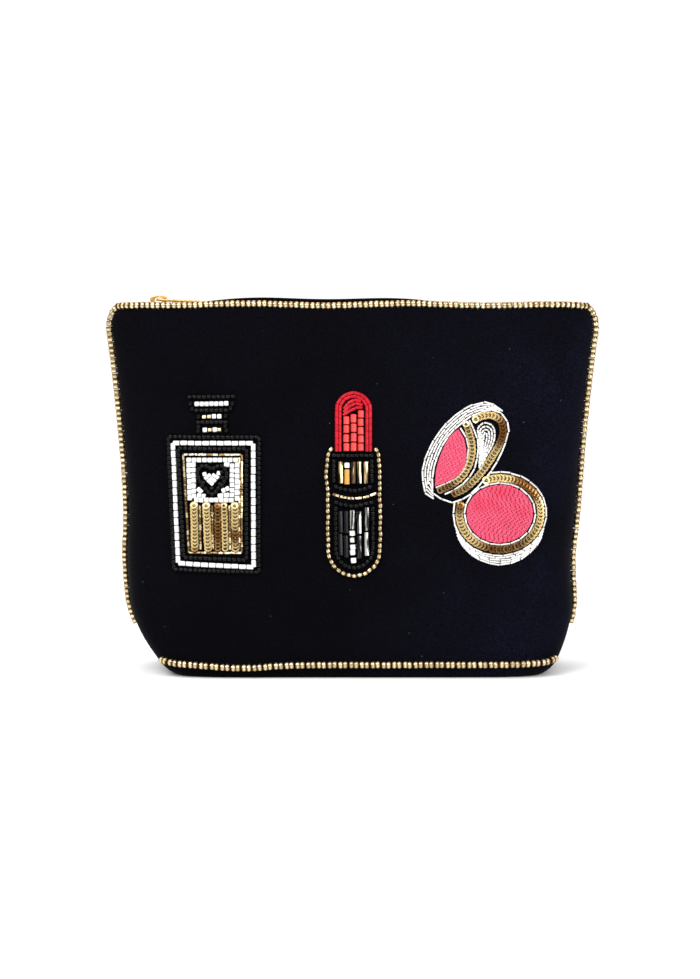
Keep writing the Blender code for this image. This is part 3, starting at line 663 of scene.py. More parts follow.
def seat(place, ahead, outward, scale=(1.0, 1.0, 1.0)):
    """A matrix whose X runs ahead along the thread and whose Z points out of the cloth."""
    ahead = ahead.normalized()
    across = outward.cross(ahead).normalized()
    columns = (ahead * scale[0], across * scale[1], ahead.cross(across) * scale[2])
    matrix = Matrix(columns).transposed().to_4x4()
    matrix.translation = place
    return matrix


def sewn(form, line, pitch, lift, closed=False, scale=(1.0, 1.0, 1.0), jitter=0.0, seed=1, tilt=0.0):
    """Places for copies strung along a line of (x, z) points on the front. tilt leans each one back
    against the next, as overlapping sequins do."""
    picks = random.Random(seed)
    found, gap = stations(line, pitch, closed)
    places = []
    for spot, direction in found:
        x, z = spot
        x += picks.uniform(-1, 1) * jitter
        z += picks.uniform(-1, 1) * jitter
        place, outward = form.front(x, z, lift)
        ahead = form.front(x + direction[0] * 0.3 * MM, z + direction[1] * 0.3 * MM, lift)[0] - place
        sway = Matrix.Rotation(picks.uniform(-1, 1) * jitter / MM * 0.5, 4, "Z")
        lean = Matrix.Rotation(tilt, 4, "Y")
        places.append(seat(place, ahead, outward, scale) @ (sway @ lean))
    return places, gap


# Meshes


def grid(columns, rows, place, outward_at=None):
    """A grid of faces moved to place(u, v), closed where points meet. outward_at is a direction that
    the first faces should look towards."""
    bm = bmesh.new()
    bmesh.ops.create_grid(bm, x_segments=columns, y_segments=rows, size=0.5)
    shares = {vert: (vert.co.x + 0.5, vert.co.y + 0.5) for vert in bm.verts}
    map_layer = bm.loops.layers.uv.new("cloth")
    for vert, (u, v) in shares.items():
        vert.co = place(u, v)
    wide = sum((place((i + 1) / 8, 0.5) - place(i / 8, 0.5)).length for i in range(8))
    high = sum((place(0.5, (i + 1) / 8) - place(0.5, i / 8)).length for i in range(8))
    for face in bm.faces:
        for corner in face.loops:
            u, v = shares[corner.vert]
            corner[map_layer].uv = (u * wide, v * high)
    bmesh.ops.remove_doubles(bm, verts=bm.verts, dist=1e-6)
    bmesh.ops.recalc_face_normals(bm, faces=bm.faces)
    if outward_at is not None:
        bm.faces.ensure_lookup_table()
        bm.normal_update()
        facing = sum((face.normal for face in bm.faces), Vector())
        if facing.dot(Vector(outward_at)) < 0:
            bmesh.ops.reverse_faces(bm, faces=bm.faces)
    return bm


def tube(line, radius, sides, closed=False, flat=1.0):
    """A round cord along 3D points with closed ends. radius may be a function of the share of its length.
    flat squeezes it towards the direction in which it lies."""
    points = [Vector(point) for point in line]
    count = len(points)
    thick = radius if callable(radius) else lambda share: radius

    def place(u, v):
        number = v * (count - 1 if not closed else count)
        index = min(int(round(number)), count if closed else count - 1)
        here = points[index % count]
        before = points[(index - 1) % count] if closed or index > 0 else here
        after = points[(index + 1) % count] if closed or index < count - 1 else here
        ahead = (after - before).normalized()
        guide = Vector((0, 0, 1)) if abs(ahead.z) < 0.9 else Vector((0, 1, 0))
        side = ahead.cross(guide).normalized()
        up = side.cross(ahead)
        angle = u * math.tau
        return here + (side * math.cos(angle) + up * math.sin(angle) * flat) * thick(v)

    bm = grid(sides, count if closed else count - 1, place)
    if not closed:
        bmesh.ops.holes_fill(bm, edges=[edge for edge in bm.edges if edge.is_boundary], sides=sides)
        bmesh.ops.recalc_face_normals(bm, faces=bm.faces)
    return bm


def rounded(bm, edges, offset, segments=2):
    """Rounds edges off."""
    bmesh.ops.bevel(
        bm,
        geom=edges,
        offset=offset,
        segments=segments,
        profile=0.5,
        affect="EDGES",
        material=-1,
    )


def show(name, bm, material, smooth=math.radians(40)):
    """Writes a bmesh to an object at the origin, whose place is in its mesh."""
    mesh = bpy.data.meshes.new(name)
    bm.to_mesh(mesh)
    bm.free()
    mesh.shade_smooth()
    mesh.set_sharp_from_angle(angle=smooth)
    mesh.materials.append(material)
    made = bpy.data.objects.new(name, mesh)
    bpy.context.scene.collection.objects.link(made)
    return made


def thicken(piece, thickness):
    """Gives a cloth surface its thickness, inwards, with crisp cut edges."""
    shell = piece.modifiers.new("thickness", "SOLIDIFY")
    shell.thickness = thickness
    shell.offset = -1.0
    graph = bpy.context.evaluated_depsgraph_get()
    solid = bpy.data.meshes.new_from_object(
        piece.evaluated_get(graph), preserve_all_data_layers=True, depsgraph=graph
    )
    piece.modifiers.clear()
    piece.data = solid
    solid.set_sharp_from_angle(angle=math.radians(60))
    return piece


def marked(bm, painted_shade_at):
    """Writes the bead's painted shade, how much darker each point is painted, and an empty tone, and returns
    it as a mesh to copy.
    """
    painted_shade, tone = bm.verts.layers.float.new("painted_shade"), bm.verts.layers.float.new("tone")
    for vert in bm.verts:
        vert[painted_shade] = painted_shade_at(vert.co)
        vert[tone] = 0.0
    bmesh.ops.recalc_face_normals(bm, faces=bm.faces)
    mesh = bpy.data.meshes.new("bead")
    bm.to_mesh(mesh)
    bm.free()
    return mesh


def spun(profile, around):
    """Turns a closed profile of (x, radius) points about the X axis."""
    bm = bmesh.new()
    bmesh.ops.create_circle(bm, segments=len(profile), radius=1.0)
    for vert, (x, radius) in zip(bm.verts, profile):
        vert.co = (x, radius, 0.0)
    bmesh.ops.spin(
        bm,
        geom=bm.verts[:] + bm.edges[:],
        cent=(0, 0, 0),
        axis=(1, 0, 0),
        angle=math.tau,
        steps=around,
        use_merge=True,
    )
    bmesh.ops.remove_doubles(bm, verts=bm.verts, dist=1e-7)
    return bm


def seed_bead(width, long, hole=0.3, around=9):
    """A glass ring bead threaded on the X axis, marked with painted shade towards its ends. hole is the share
    of its width.
    """
    inner, outer = width * hole / 2, width / 2
    middle, thick = (inner + outer) / 2, (outer - inner) / 2
    turns = [math.tau * (step + 0.5) / 6 for step in range(6)]
    profile = [(long / 2 * math.cos(turn) * 1.1, middle + thick * math.sin(turn) * 1.1) for turn in turns]

    def painted_shade_at(co):
        return min(abs(co.x) / (long / 2), 1.0) ** 1.5

    return marked(spun(profile, around), painted_shade_at)


def tube_bead(width, long, around=8, edge=0.12):
    """A straight cut tube bead on the X axis, its ends a little rounded and marked with painted shade."""
    inner, outer, half = width * 0.2, width / 2, long / 2
    soft = width * edge
    profile = [
        (-half, inner),
        (-half, outer - soft),
        (-half + soft, outer),
        (half - soft, outer),
        (half, outer - soft),
        (half, inner),
    ]

    def painted_shade_at(co):
        return 1.0 if abs(co.x) > half - soft / 2 else 0.0

    return marked(spun(profile, around), painted_shade_at)


def sequin(width):
    """A cupped sequin with a pierced middle, open side out along Z, marked with painted shade that is darkest
    round the hole.
    """
    hole, thin, rim = 0.10 * width, 0.03 * width, 0.5 * width
    profile = [(0.0, hole), (0.01, 0.28 * width), (0.04, 0.38 * width), (0.10, rim)]
    outside = [(lift * width + thin, radius) for lift, radius in profile]
    inside = [(lift * width, radius) for lift, radius in reversed(profile)]
    bm = spun([*outside, *inside], 12)
    bmesh.ops.rotate(bm, verts=bm.verts, cent=(0, 0, 0), matrix=Matrix.Rotation(-math.pi / 2, 3, "Y"))
    return marked(bm, lambda co: (math.hypot(co.x, co.y) - hole) / (rim - hole))


def wire_piece(width, long):
    """A short length of coiled wire on the X axis, its ends a little closed, marked with painted shade down
    its sides and at its ends.
    """
    half, radius = long / 2, width / 2
    profile = [(-half, 0.15 * radius), (-half, 0.75 * radius), (-half + 0.5 * radius, radius)]
    profile += [(-x, across) for x, across in reversed(profile)]

    def painted_shade_at(co):
        return 1.0 if abs(co.x) > half - 0.1 * radius else min(1 - co.z / radius, 1.0) ** 1.5

    return marked(spun(profile, 8), painted_shade_at)


def stitch(width, long):
    """One floss stitch on the X axis: it dives into the cloth at both ends, which are marked with painted
    shade.
    """
    half, radius = long / 2, width / 2
    shares = ((-1.0, 0.1), (-0.8, 0.78), (-0.5, 1.0), (0.5, 1.0), (0.8, 0.78), (1.0, 0.1))
    profile = [(share * half, thick * radius) for share, thick in shares]
    bm = spun(profile, 7)
    return marked(bm, lambda co: 0.6 * max(abs(co.x) / half - 0.6, 0.0) / 0.4)


def tone_along(tones, share):
    """The tone at a share of a strand, between evenly spaced tones."""
    spot = share * (len(tones) - 1)
    first = min(int(spot), max(len(tones) - 2, 0))
    return tones[first] + (tones[min(first + 1, len(tones) - 1)] - tones[first]) * (spot - first)


def strung(name, parts, material, seed, tones=(0.5,), spread=0.5):
    """One object of many copies. parts is a list of (template mesh, places). Each copy gets a tone from
    those along its strand, give or take the spread."""
    picks = random.Random(seed)
    bm = bmesh.new()
    for template, places in parts:
        for number, matrix in enumerate(places):
            copy = template.copy()
            tone = tone_along(tones, number / max(len(places) - 1, 1)) + picks.uniform(-spread, spread)
            copy.attributes["tone"].data.foreach_set("value", [tone] * len(copy.vertices))
            copy.transform(matrix)
            bm.from_mesh(copy)
            bpy.data.meshes.remove(copy)
    for template in {id(template): template for template, _ in parts}.values():
        bpy.data.meshes.remove(template)
    return show(name, bm, material)


def bend(piece, side, facing):
    """Bakes a piece's place into its mesh. The bend zone of its side is looked up, but the piece is not bent.
    """
    start, end = BENDS[side]
    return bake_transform(piece)


# Operators


class Builder:
    """What every operator needs: the shape, the bead sizes and the materials."""

    bl_options = {"REGISTER", "UNDO"}

    def ready(self, context):
        self.form = Form(context.scene.bag_shape)
        self.beads = context.scene.bag_beads
        self.stuff = finishes(context.scene)

    def sew(self, name, parts, slot, node, seed, tones=(0.5,), spread=0.5, finish=None):
        """Strings a piece, hides the node that it stands for, and hands the piece to hold."""
        piece = strung(name, parts, self.stuff[finish or slot], seed, tones, spread)
        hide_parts(node)
        self.hold(piece)

    def seat_at(self, x, z, lift, ahead):
        """Where a single bead sits on the front, from its place in millimetres and its thread's direction."""
        place, outward = self.form.front(x * MM, z * MM, lift)
        return seat(place, Vector(ahead), outward)

    def sheet_size(self, side, facing, inset):
        """Width and height of half a panel, measured over the cloth, before it is sewn."""
        across = [self.form.panel(i / 24, 0.5, side, facing, inset) for i in range(25)]
        up = [self.form.panel(0.0, i / 24, side, facing, inset) for i in range(25)]
        return tuple(sum((b - a).length for a, b in zip(line, line[1:])) for line in (across, up))


class MAKEUP_BAG_OT_velvet(Builder, bpy.types.Operator):
    """Makes the velvet front, back and base."""

    bl_idname = "makeup_bag.velvet"
    bl_label = "Velvet outside"

    def half_panel(self, side, facing):
        """Half of the front or back, from the base seam up and over the turned hem of the mouth."""
        form, roll, hem = self.form, 1.0 * MM, 4.0 * MM
        straight = 0.86  # share of the rows below the hem

        def place(u, v):
            share = math.sin(u * math.pi / 2)
            if v <= straight:
                rise = v / straight
                return form.panel(share, 1 - (1 - rise) ** 1.15, side, facing, below_rim=roll)
            top = form.panel(share, 1.0, side, facing, below_rim=roll)
            inward = -form.outward(share, top.z, side, facing)
            past = (v - straight) / (1 - straight)
            turn = min(past / 0.6, 1.0) * math.pi
            down = max(past - 0.6, 0.0) / 0.4 * hem
            return top + inward * roll * (1 - math.cos(turn)) + Vector((0, 0, roll * math.sin(turn) - down))

        name = f"velvet_{FACING_WORDS[facing]}_{SIDE_WORDS[side]}"
        bm = grid(56, 78, place, outward_at=(0, facing, 0))
        piece = thicken(show(name, bm, self.stuff["velvet"]), form.velvet)
        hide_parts(f"{FACING_WORDS[facing]}_panel")
        bend(piece, side, facing)
        width, high = self.sheet_size(side, facing, 0.0)

    def base(self):
        """The base and its upturned sides, down from the seam, round the lower edge and under."""
        form = self.form
        edge, tuck = 4.0 * MM, 2.6 * MM
        inner_rings = (0.9, 0.6, 0.3, 0.0)

        def ring_point(turn):
            quarter, along = int(turn * 4) % 4, (turn * 4) % 1.0
            side = (RIGHT, RIGHT, LEFT, LEFT)[quarter]
            facing = (FRONT, BACK, BACK, FRONT)[quarter]
            along = along if quarter in (0, 2) else 1 - along
            return math.sin(along * math.pi / 2), side, facing

        def place(u, v):
            share, side, facing = ring_point(u)
            row = round(v * 16)
            foot = form.seam_at(side * form.waist_half * share, share) - 0.3 * MM
            if row <= 6:
                z = foot + (min(edge, foot) - foot) * row / 6
                return form.point(share, z, side, facing)
            if row <= 12:
                turn = (row - 6) / 6 * math.pi / 2
                z = min(edge, foot) * (1 - math.sin(turn))
                return form.point(share, z, side, facing, tuck * (1 - math.cos(turn)))
            rim = form.point(share, 0.0, side, facing, tuck)
            inner = inner_rings[row - 13]
            return Vector((rim.x * inner, rim.y * inner, 0.0))

        bm = grid(128, 16, place, outward_at=(0, 0, -1))
        piece = thicken(show("velvet_base", bm, self.stuff["velvet"]), form.velvet)
        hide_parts("base_panel")
        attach(piece, "base")

    def execute(self, context):
        self.ready(context)
        self.base()
        for facing in (FRONT, BACK):
            for side in (LEFT, RIGHT):
                self.half_panel(side, facing)
        return {"FINISHED"}


class MAKEUP_BAG_OT_inside(Builder, bpy.types.Operator):
    """Makes the interlining, the lining and the board in the base."""

    bl_idname = "makeup_bag.inside"
    bl_label = "Inner layers"

    def half_layer(self, word, slot, side, facing, inset, thickness, below_rim):
        form = self.form

        def place(u, v):
            share = math.sin(u * math.pi / 2)
            rise = 0.01 + 0.99 * v
            point = form.panel(share, rise, side, facing, inset, below_rim)
            soft = 0.5 * MM * noise.noise(point * 70.0) * math.sin(math.pi * v) * (1 - share**4)
            return point - Vector((0, facing * abs(soft), 0))

        name = f"{word}_{FACING_WORDS[facing]}_{SIDE_WORDS[side]}"
        bm = grid(36, 44, place, outward_at=(0, facing, 0))
        piece = thicken(show(name, bm, self.stuff[slot]), thickness)
        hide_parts(f"{FACING_WORDS[facing]}_{word}")
        bend(piece, side, facing)
        width, high = self.sheet_size(side, facing, inset)

    def board(self):
        """The board under the lining: a boxy oval that fills its node's place."""
        low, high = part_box("base_board")
        bm = bmesh.new()
        bmesh.ops.create_circle(bm, cap_ends=True, segments=64, radius=1.0)
        for number, vert in enumerate(bm.verts):
            turn = math.tau * number / 64
            x = math.copysign(abs(math.cos(turn)) ** (2 / 9), math.cos(turn)) * high.x
            y = math.copysign(abs(math.sin(turn)) ** (2 / 4.5), math.sin(turn)) * high.y
            vert.co = (x, y, low.z)
        raised = bmesh.ops.extrude_face_region(bm, geom=bm.faces[:], use_keep_orig=True)["geom"]
        top = [item for item in raised if isinstance(item, bmesh.types.BMVert)]
        bmesh.ops.translate(bm, vec=(0, 0, high.z - low.z), verts=top)
        bmesh.ops.recalc_face_normals(bm, faces=bm.faces)
        piece = show("base_stiffener", bm, self.stuff["board"])
        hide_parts("base_board")
        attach(piece, "base")

    def floor_lining(self):
        """The lining of the base: a flat floor with a soft upturned edge."""
        form = self.form
        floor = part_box("base_lining")[0].z + form.lining

        def place(u, v):
            quarter, along = int(u * 4) % 4, (u * 4) % 1.0
            side = (RIGHT, RIGHT, LEFT, LEFT)[quarter]
            facing = (FRONT, BACK, BACK, FRONT)[quarter]
            share = math.sin((along if quarter in (0, 2) else 1 - along) * math.pi / 2)
            row = round(v * 8)
            inset = 2.4 * MM
            foot = form.seam_at(side * form.waist_half * share, share) - 0.2 * MM
            if row <= 3:
                z = foot + (floor + 2 * MM - foot) * row / 3
                return form.point(share, max(z, floor), side, facing, inset)
            scale = (1.0, 0.94, 0.6, 0.3, 0.0)[row - 4]
            rim = form.point(share, floor, side, facing, inset + 1.5 * MM)
            return Vector((rim.x * scale, rim.y * scale, floor))

        bm = grid(96, 8, place, outward_at=(0, 0, -1))
        piece = thicken(show("lining_floor", bm, self.stuff["lining"]), -form.lining)
        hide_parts("base_lining")
        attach(piece, "base")

    def execute(self, context):
        self.ready(context)
        form = self.form
        felt_inset = form.velvet + 0.3 * MM
        lining_inset = felt_inset + form.interlining + 0.3 * MM
        for facing in (FRONT, BACK):
            for side in (LEFT, RIGHT):
                self.half_layer("interlining", "felt", side, facing, felt_inset, form.interlining, 4.5 * MM)
                self.half_layer("lining", "lining", side, facing, lining_inset, form.lining, 2.5 * MM)
        self.board()
        self.floor_lining()
        return {"FINISHED"}


class MAKEUP_BAG_OT_zip(Builder, bpy.types.Operator):
    """Makes the tapes, teeth and stops of the zip."""

    bl_idname = "makeup_bag.zip"
    bl_label = "Zip"

    tooth_pitch = 2.4 * MM

    def tape(self, side, facing):
        """Half of one tape: it hangs a little between the hem and the corded edge that holds the teeth."""
        form = self.form
        low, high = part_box("front_zip_tape")
        chain = (low.z + high.z) / 2
        inner = 1.7 * MM

        def place(u, v):
            x = side * u * high.x
            share = abs(x) / form.half_width(chain, side)
            hem = max(form.half_depth(chain) * form.depth_share(share, chain), 2.6 * MM)
            outer = max(hem - 1.6 * MM, inner + 0.6 * MM)
            sag = 0.35 * MM * math.sin(math.pi * v)
            return Vector((x, facing * (outer + (inner - outer) * v), chain - sag))

        bm = grid(60, 8, place, outward_at=(0, 0, 1))
        piece = show(f"zip_tape_{FACING_WORDS[facing]}_{SIDE_WORDS[side]}", bm, self.stuff["tape"])
        thicken(piece, 0.5 * MM)
        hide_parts(f"{FACING_WORDS[facing]}_zip_tape")
        bend(piece, side, facing)
        line = [(side * high.x * step / 40, facing * inner, chain) for step in range(41)]
        name = f"zip_cord_{FACING_WORDS[facing]}_{SIDE_WORDS[side]}"
        cord = show(name, tube(line, 0.55 * MM, 8), self.stuff["tape"])
        bend(cord, side, facing)

    def tooth(self, facing):
        """A clamped tooth with a bulged head that reaches past the middle into the other row."""
        bm = bmesh.new()
        bmesh.ops.create_cube(bm, size=1.0)
        bmesh.ops.scale(bm, vec=(1.15 * MM, 2.7 * MM, 1.9 * MM), verts=bm.verts)
        for vert in bm.verts:
            if vert.co.y > 0:
                vert.co.x *= 0.72
                vert.co.z *= 0.9
        rounded(bm, bm.edges[:], 0.2 * MM, 1)
        bmesh.ops.translate(bm, vec=(0, -1.35 * MM + 0.35 * MM, 0), verts=bm.verts)
        if facing == BACK:
            bmesh.ops.rotate(bm, verts=bm.verts, cent=(0, 0, 0), matrix=Matrix.Rotation(math.pi, 3, "Z"))
        return marked(bm, lambda co: 0.0)

    def teeth(self, facing):
        low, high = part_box("front_zip_teeth")
        chain = (low.z + high.z) / 2
        first = low.x + self.tooth_pitch / 4 + (self.tooth_pitch / 2 if facing == BACK else 0.0)
        count = int((high.x - first) / self.tooth_pitch) + 1
        for side in (LEFT, RIGHT):
            spots = [first + number * self.tooth_pitch for number in range(count)]
            spots = [x for x in spots if (x >= 0) == (side == RIGHT)]
            places = [Matrix.Translation((x, 0, chain)) for x in spots]
            name = f"zip_teeth_{FACING_WORDS[facing]}_{SIDE_WORDS[side]}"
            piece = strung(name, [(self.tooth(facing), places)], self.stuff["brass"], 3)
            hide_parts(f"{FACING_WORDS[facing]}_zip_teeth")
            bend(piece, side, facing)

    def stop(self, name, node, body):
        """A folded metal stop: a bevelled block in its node's place."""
        low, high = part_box(node)
        bm = bmesh.new()
        bmesh.ops.create_cube(bm, size=1.0)
        bmesh.ops.scale(bm, vec=high - low, verts=bm.verts)
        bmesh.ops.translate(bm, vec=(low + high) / 2, verts=bm.verts)
        rounded(bm, bm.edges[:], 0.35 * MM, 3)
        piece = show(name, bm, self.stuff["brass"])
        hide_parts(node)
        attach(piece, body)

    def execute(self, context):
        self.ready(context)
        for facing in (FRONT, BACK):
            for side in (LEFT, RIGHT):
                self.tape(side, facing)
            self.teeth(facing)
            word = FACING_WORDS[facing]
            self.stop(f"zip_top_stop_{word}", f"{word}_top_stop", "base")
        self.stop("zip_end_stop", "zip_bottom_stop", "base")
        return {"FINISHED"}


class MAKEUP_BAG_OT_slider(Builder, bpy.types.Operator):
    """Makes the zip's slider and its pull."""

    bl_idname = "makeup_bag.slider"
    bl_label = "Slider and pull"

    def plate(self, x, half, wide, low, thick):
        """A plate that narrows towards the closed teeth, with rounded edges."""
        bm = bmesh.new()
        bmesh.ops.create_circle(bm, cap_ends=True, segments=28, radius=1.0)
        for number, vert in enumerate(bm.verts):
            turn = math.tau * number / 28
            along = math.copysign(abs(math.cos(turn)) ** 0.6, math.cos(turn))
            across = math.copysign(abs(math.sin(turn)) ** 0.6, math.sin(turn))
            vert.co = (x + half * along, wide * across * (1 - 0.18 * max(along, 0.0)), low)
        raised = bmesh.ops.extrude_face_region(bm, geom=bm.faces[:], use_keep_orig=True)["geom"]
        top = [item for item in raised if isinstance(item, bmesh.types.BMVert)]
        bmesh.ops.translate(bm, vec=(0, 0, thick), verts=top)
        rims = [edge for edge in bm.edges if abs(edge.verts[0].co.z - edge.verts[1].co.z) < 1e-7]
        rounded(bm, rims, 0.18 * MM)
        bmesh.ops.recalc_face_normals(bm, faces=bm.faces)
        return bm

    def bridge(self, x, foot, top):
        """The humped bridge on the upper plate, with the hole that the pull hangs in."""
        steps = 32
        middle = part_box("pull_tab")[1].z - 0.4 * MM
        bm = bmesh.new()
        rings = []
        for half, low, high in ((2.9 * MM, foot, top), (1.35 * MM, foot + 0.35 * MM, middle + 0.75 * MM)):
            ring = bmesh.ops.create_circle(bm, segments=steps, radius=1.0)["verts"]
            for number, vert in enumerate(ring):
                turn = math.tau * number / steps
                run, rise = math.cos(turn), math.sin(turn)
                z = (low + high) / 2 + (high - low) / 2 * math.copysign(abs(rise) ** 0.75, rise)
                vert.co = (x + half * math.copysign(abs(run) ** 0.75, run), -1.0 * MM, z)
            rings += [edge for edge in bm.edges if edge.verts[0] in ring and edge not in rings]
        bmesh.ops.bridge_loops(bm, edges=rings)
        raised = bmesh.ops.extrude_face_region(bm, geom=bm.faces[:], use_keep_orig=True)["geom"]
        back = [item for item in raised if isinstance(item, bmesh.types.BMVert)]
        bmesh.ops.translate(bm, vec=(0, 2.0 * MM, 0), verts=back)
        edges = [edge for edge in bm.edges if edge.calc_face_angle(0.0) > 1.0]
        rounded(bm, edges, 0.25 * MM)
        bmesh.ops.recalc_face_normals(bm, faces=bm.faces)
        return bm

    def slider(self):
        low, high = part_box("zip_slider")
        x, half, wide = (low.x + high.x) / 2, (high.x - low.x) / 2, (high.y - low.y) / 2
        plate = 0.7 * MM
        chain_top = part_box("front_zip_teeth")[1].z
        upper = chain_top + 0.9 * MM
        bm = self.plate(x, half, wide, upper, plate)
        others = [self.plate(x, half, wide, low.z, plate)]
        web = bmesh.new()
        bmesh.ops.create_cone(web, cap_ends=True, segments=12, radius1=1.0, radius2=1.0, depth=1.0)
        bmesh.ops.scale(web, vec=(1.1 * MM, 0.25 * MM, upper - low.z), verts=web.verts)
        bmesh.ops.translate(web, vec=(x - 2.5 * MM, 0, (upper + low.z + plate) / 2), verts=web.verts)
        others.append(web)
        others.append(self.bridge(x, upper + plate - 0.1 * MM, high.z))
        for other in others:
            mesh = bpy.data.meshes.new("part")
            other.to_mesh(mesh)
            other.free()
            bm.from_mesh(mesh)
            bpy.data.meshes.remove(mesh)
        piece = show("slider_body", bm, self.stuff["brass"])
        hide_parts("zip_slider")
        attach(piece, "slider")

    def pull(self):
        """A flat rounded pull with a long window round the bridge, drooping towards the teeth."""
        low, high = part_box("pull_tab")
        long, wide = 16.75 * MM, (high.y - low.y) / 2
        droop = math.radians(3)
        pivot = Vector((low.x + 0.75 * MM * math.cos(droop), 0, high.z - 0.5 * MM))
        steps = 40
        outline, window = [], []
        for step in range(steps):
            turn = math.tau * step / steps
            run, cross = math.cos(turn), math.sin(turn)
            round_it = math.copysign(abs(run) ** 0.5, run)
            edge = wide * math.copysign(abs(cross) ** 0.62, cross)
            outline.append((long / 2 * round_it + long / 2 - 0.75 * MM, edge))
            window.append((1.75 * MM * math.copysign(abs(run) ** 0.7, run) + 2.45 * MM, 1.35 * MM * cross))
        bm = bmesh.new()
        rings = []
        for points in (outline, window):
            ring = bmesh.ops.create_circle(bm, segments=steps, radius=1.0)["verts"]
            for vert, (along, across) in zip(ring, points):
                vert.co = (along, across, -0.4 * MM)
            rings.append({edge for vert in ring for edge in vert.link_edges})
        bmesh.ops.bridge_loops(bm, edges=list(rings[0] | rings[1]))
        raised = bmesh.ops.extrude_face_region(bm, geom=bm.faces[:], use_keep_orig=True)["geom"]
        top = [item for item in raised if isinstance(item, bmesh.types.BMVert)]
        bmesh.ops.translate(bm, vec=(0, 0, 0.8 * MM), verts=top)
        edges = [edge for edge in bm.edges if edge.calc_face_angle(0.0) > 1.0]
        rounded(bm, edges, 0.15 * MM)
        bmesh.ops.recalc_face_normals(bm, faces=bm.faces)
        bmesh.ops.rotate(bm, verts=bm.verts, cent=(0, 0, 0), matrix=Matrix.Rotation(droop, 3, "Y"))
        bmesh.ops.translate(bm, vec=pivot, verts=bm.verts)
        piece = show("slider_pull", bm, self.stuff["brass"])
        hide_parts("pull_tab")
        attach(piece, "pull")

    def execute(self, context):
        self.ready(context)
        self.slider()
        self.pull()
        return {"FINISHED"}


class MAKEUP_BAG_OT_edging(Builder, bpy.types.Operator):
    """Strings the gold beads along the mouth, the sides and the base seam."""

    bl_idname = "makeup_bag.edging"
    bl_label = "Edging beads"

    def row(self, name, line, outward_at, seed, paired=0.045 * MM, long=0.97):
        """Beads along a 3D line, drawn together in pairs by the stitches."""
        beads, picks = self.beads, random.Random(seed)
        found, gap = stations(line, beads.edging_pitch)
        places = []
        for number, (spot, ahead) in enumerate(found):
            pair = -paired if number % 2 else paired
            wobble = Vector([picks.uniform(-1, 1) * 0.07 * MM for _ in range(3)])
            sway = Matrix.Rotation(picks.uniform(-0.10, 0.10), 4, "Z")
            roll = Matrix.Rotation(picks.uniform(0, 3), 4, "X")
            places.append(seat(spot + ahead * pair + wobble, ahead, outward_at(spot)) @ (sway @ roll))
        bead = seed_bead(beads.edging_width, gap * long, hole=0.34, around=10)
        return strung(name, [(bead, places)], self.stuff["gold_glass"], seed)

    def execute(self, context):
        self.ready(context)
        form, radius = self.form, self.beads.edging_width / 2
        for side in (LEFT, RIGHT):
            word = SIDE_WORDS[side]
            line = []
            for step in range(60):
                share = math.sin(step / 59 * math.pi / 2)
                spot = form.panel(share, 1.0, side, FRONT)
                line.append(spot + Vector((0, 0.6 * MM * (1 - share), radius - 0.4 * MM)))
            for drop in (1.4 * MM, 3.2 * MM):
                z = form.rim - drop
                line.append(Vector((side * (form.half_width(z, side) + radius - 0.25 * MM), 0, z)))
            top = self.row(f"edge_beads_top_{word}", line, lambda spot: Vector((0, -1, 0.4)), 11 + side)
            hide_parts("top_edge_beads")
            bend(top, side, FRONT)
            foot, rim = form.seam + form.side_rise, form.rim - 3.2 * MM
            line = []
            for step in range(50):
                z = rim + (foot - rim) * step / 49
                line.append(Vector((side * (form.half_width(z, side) + radius - 0.25 * MM), 0, z)))
            level = Vector((side, 0, 0.01))
            name = f"edge_beads_side_{word}"
            down = self.row(name, line, lambda spot: level, 21 + side, 0.02 * MM, 1.0)
            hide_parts(f"{word}_side_beads")
            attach(down, "base")
        base = []
        for step in range(81):
            across = -0.955 + (0.955 + 0.965) * step / 80
            side, share = (RIGHT if across > 0 else LEFT), abs(across)
            z = form.seam_at(side * form.waist_half * share, share)
            out = form.outward(share, z, side, FRONT)
            base.append(form.point(share, z, side, FRONT) + out * (radius - 0.15 * MM))
        level = Vector((0, -1, 0.01))
        low = self.row("edge_beads_base", base, lambda spot: level, 31, 0.11 * MM, 0.9)
        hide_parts("base_edge_beads")
        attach(low, "base")
        return {"FINISHED"}


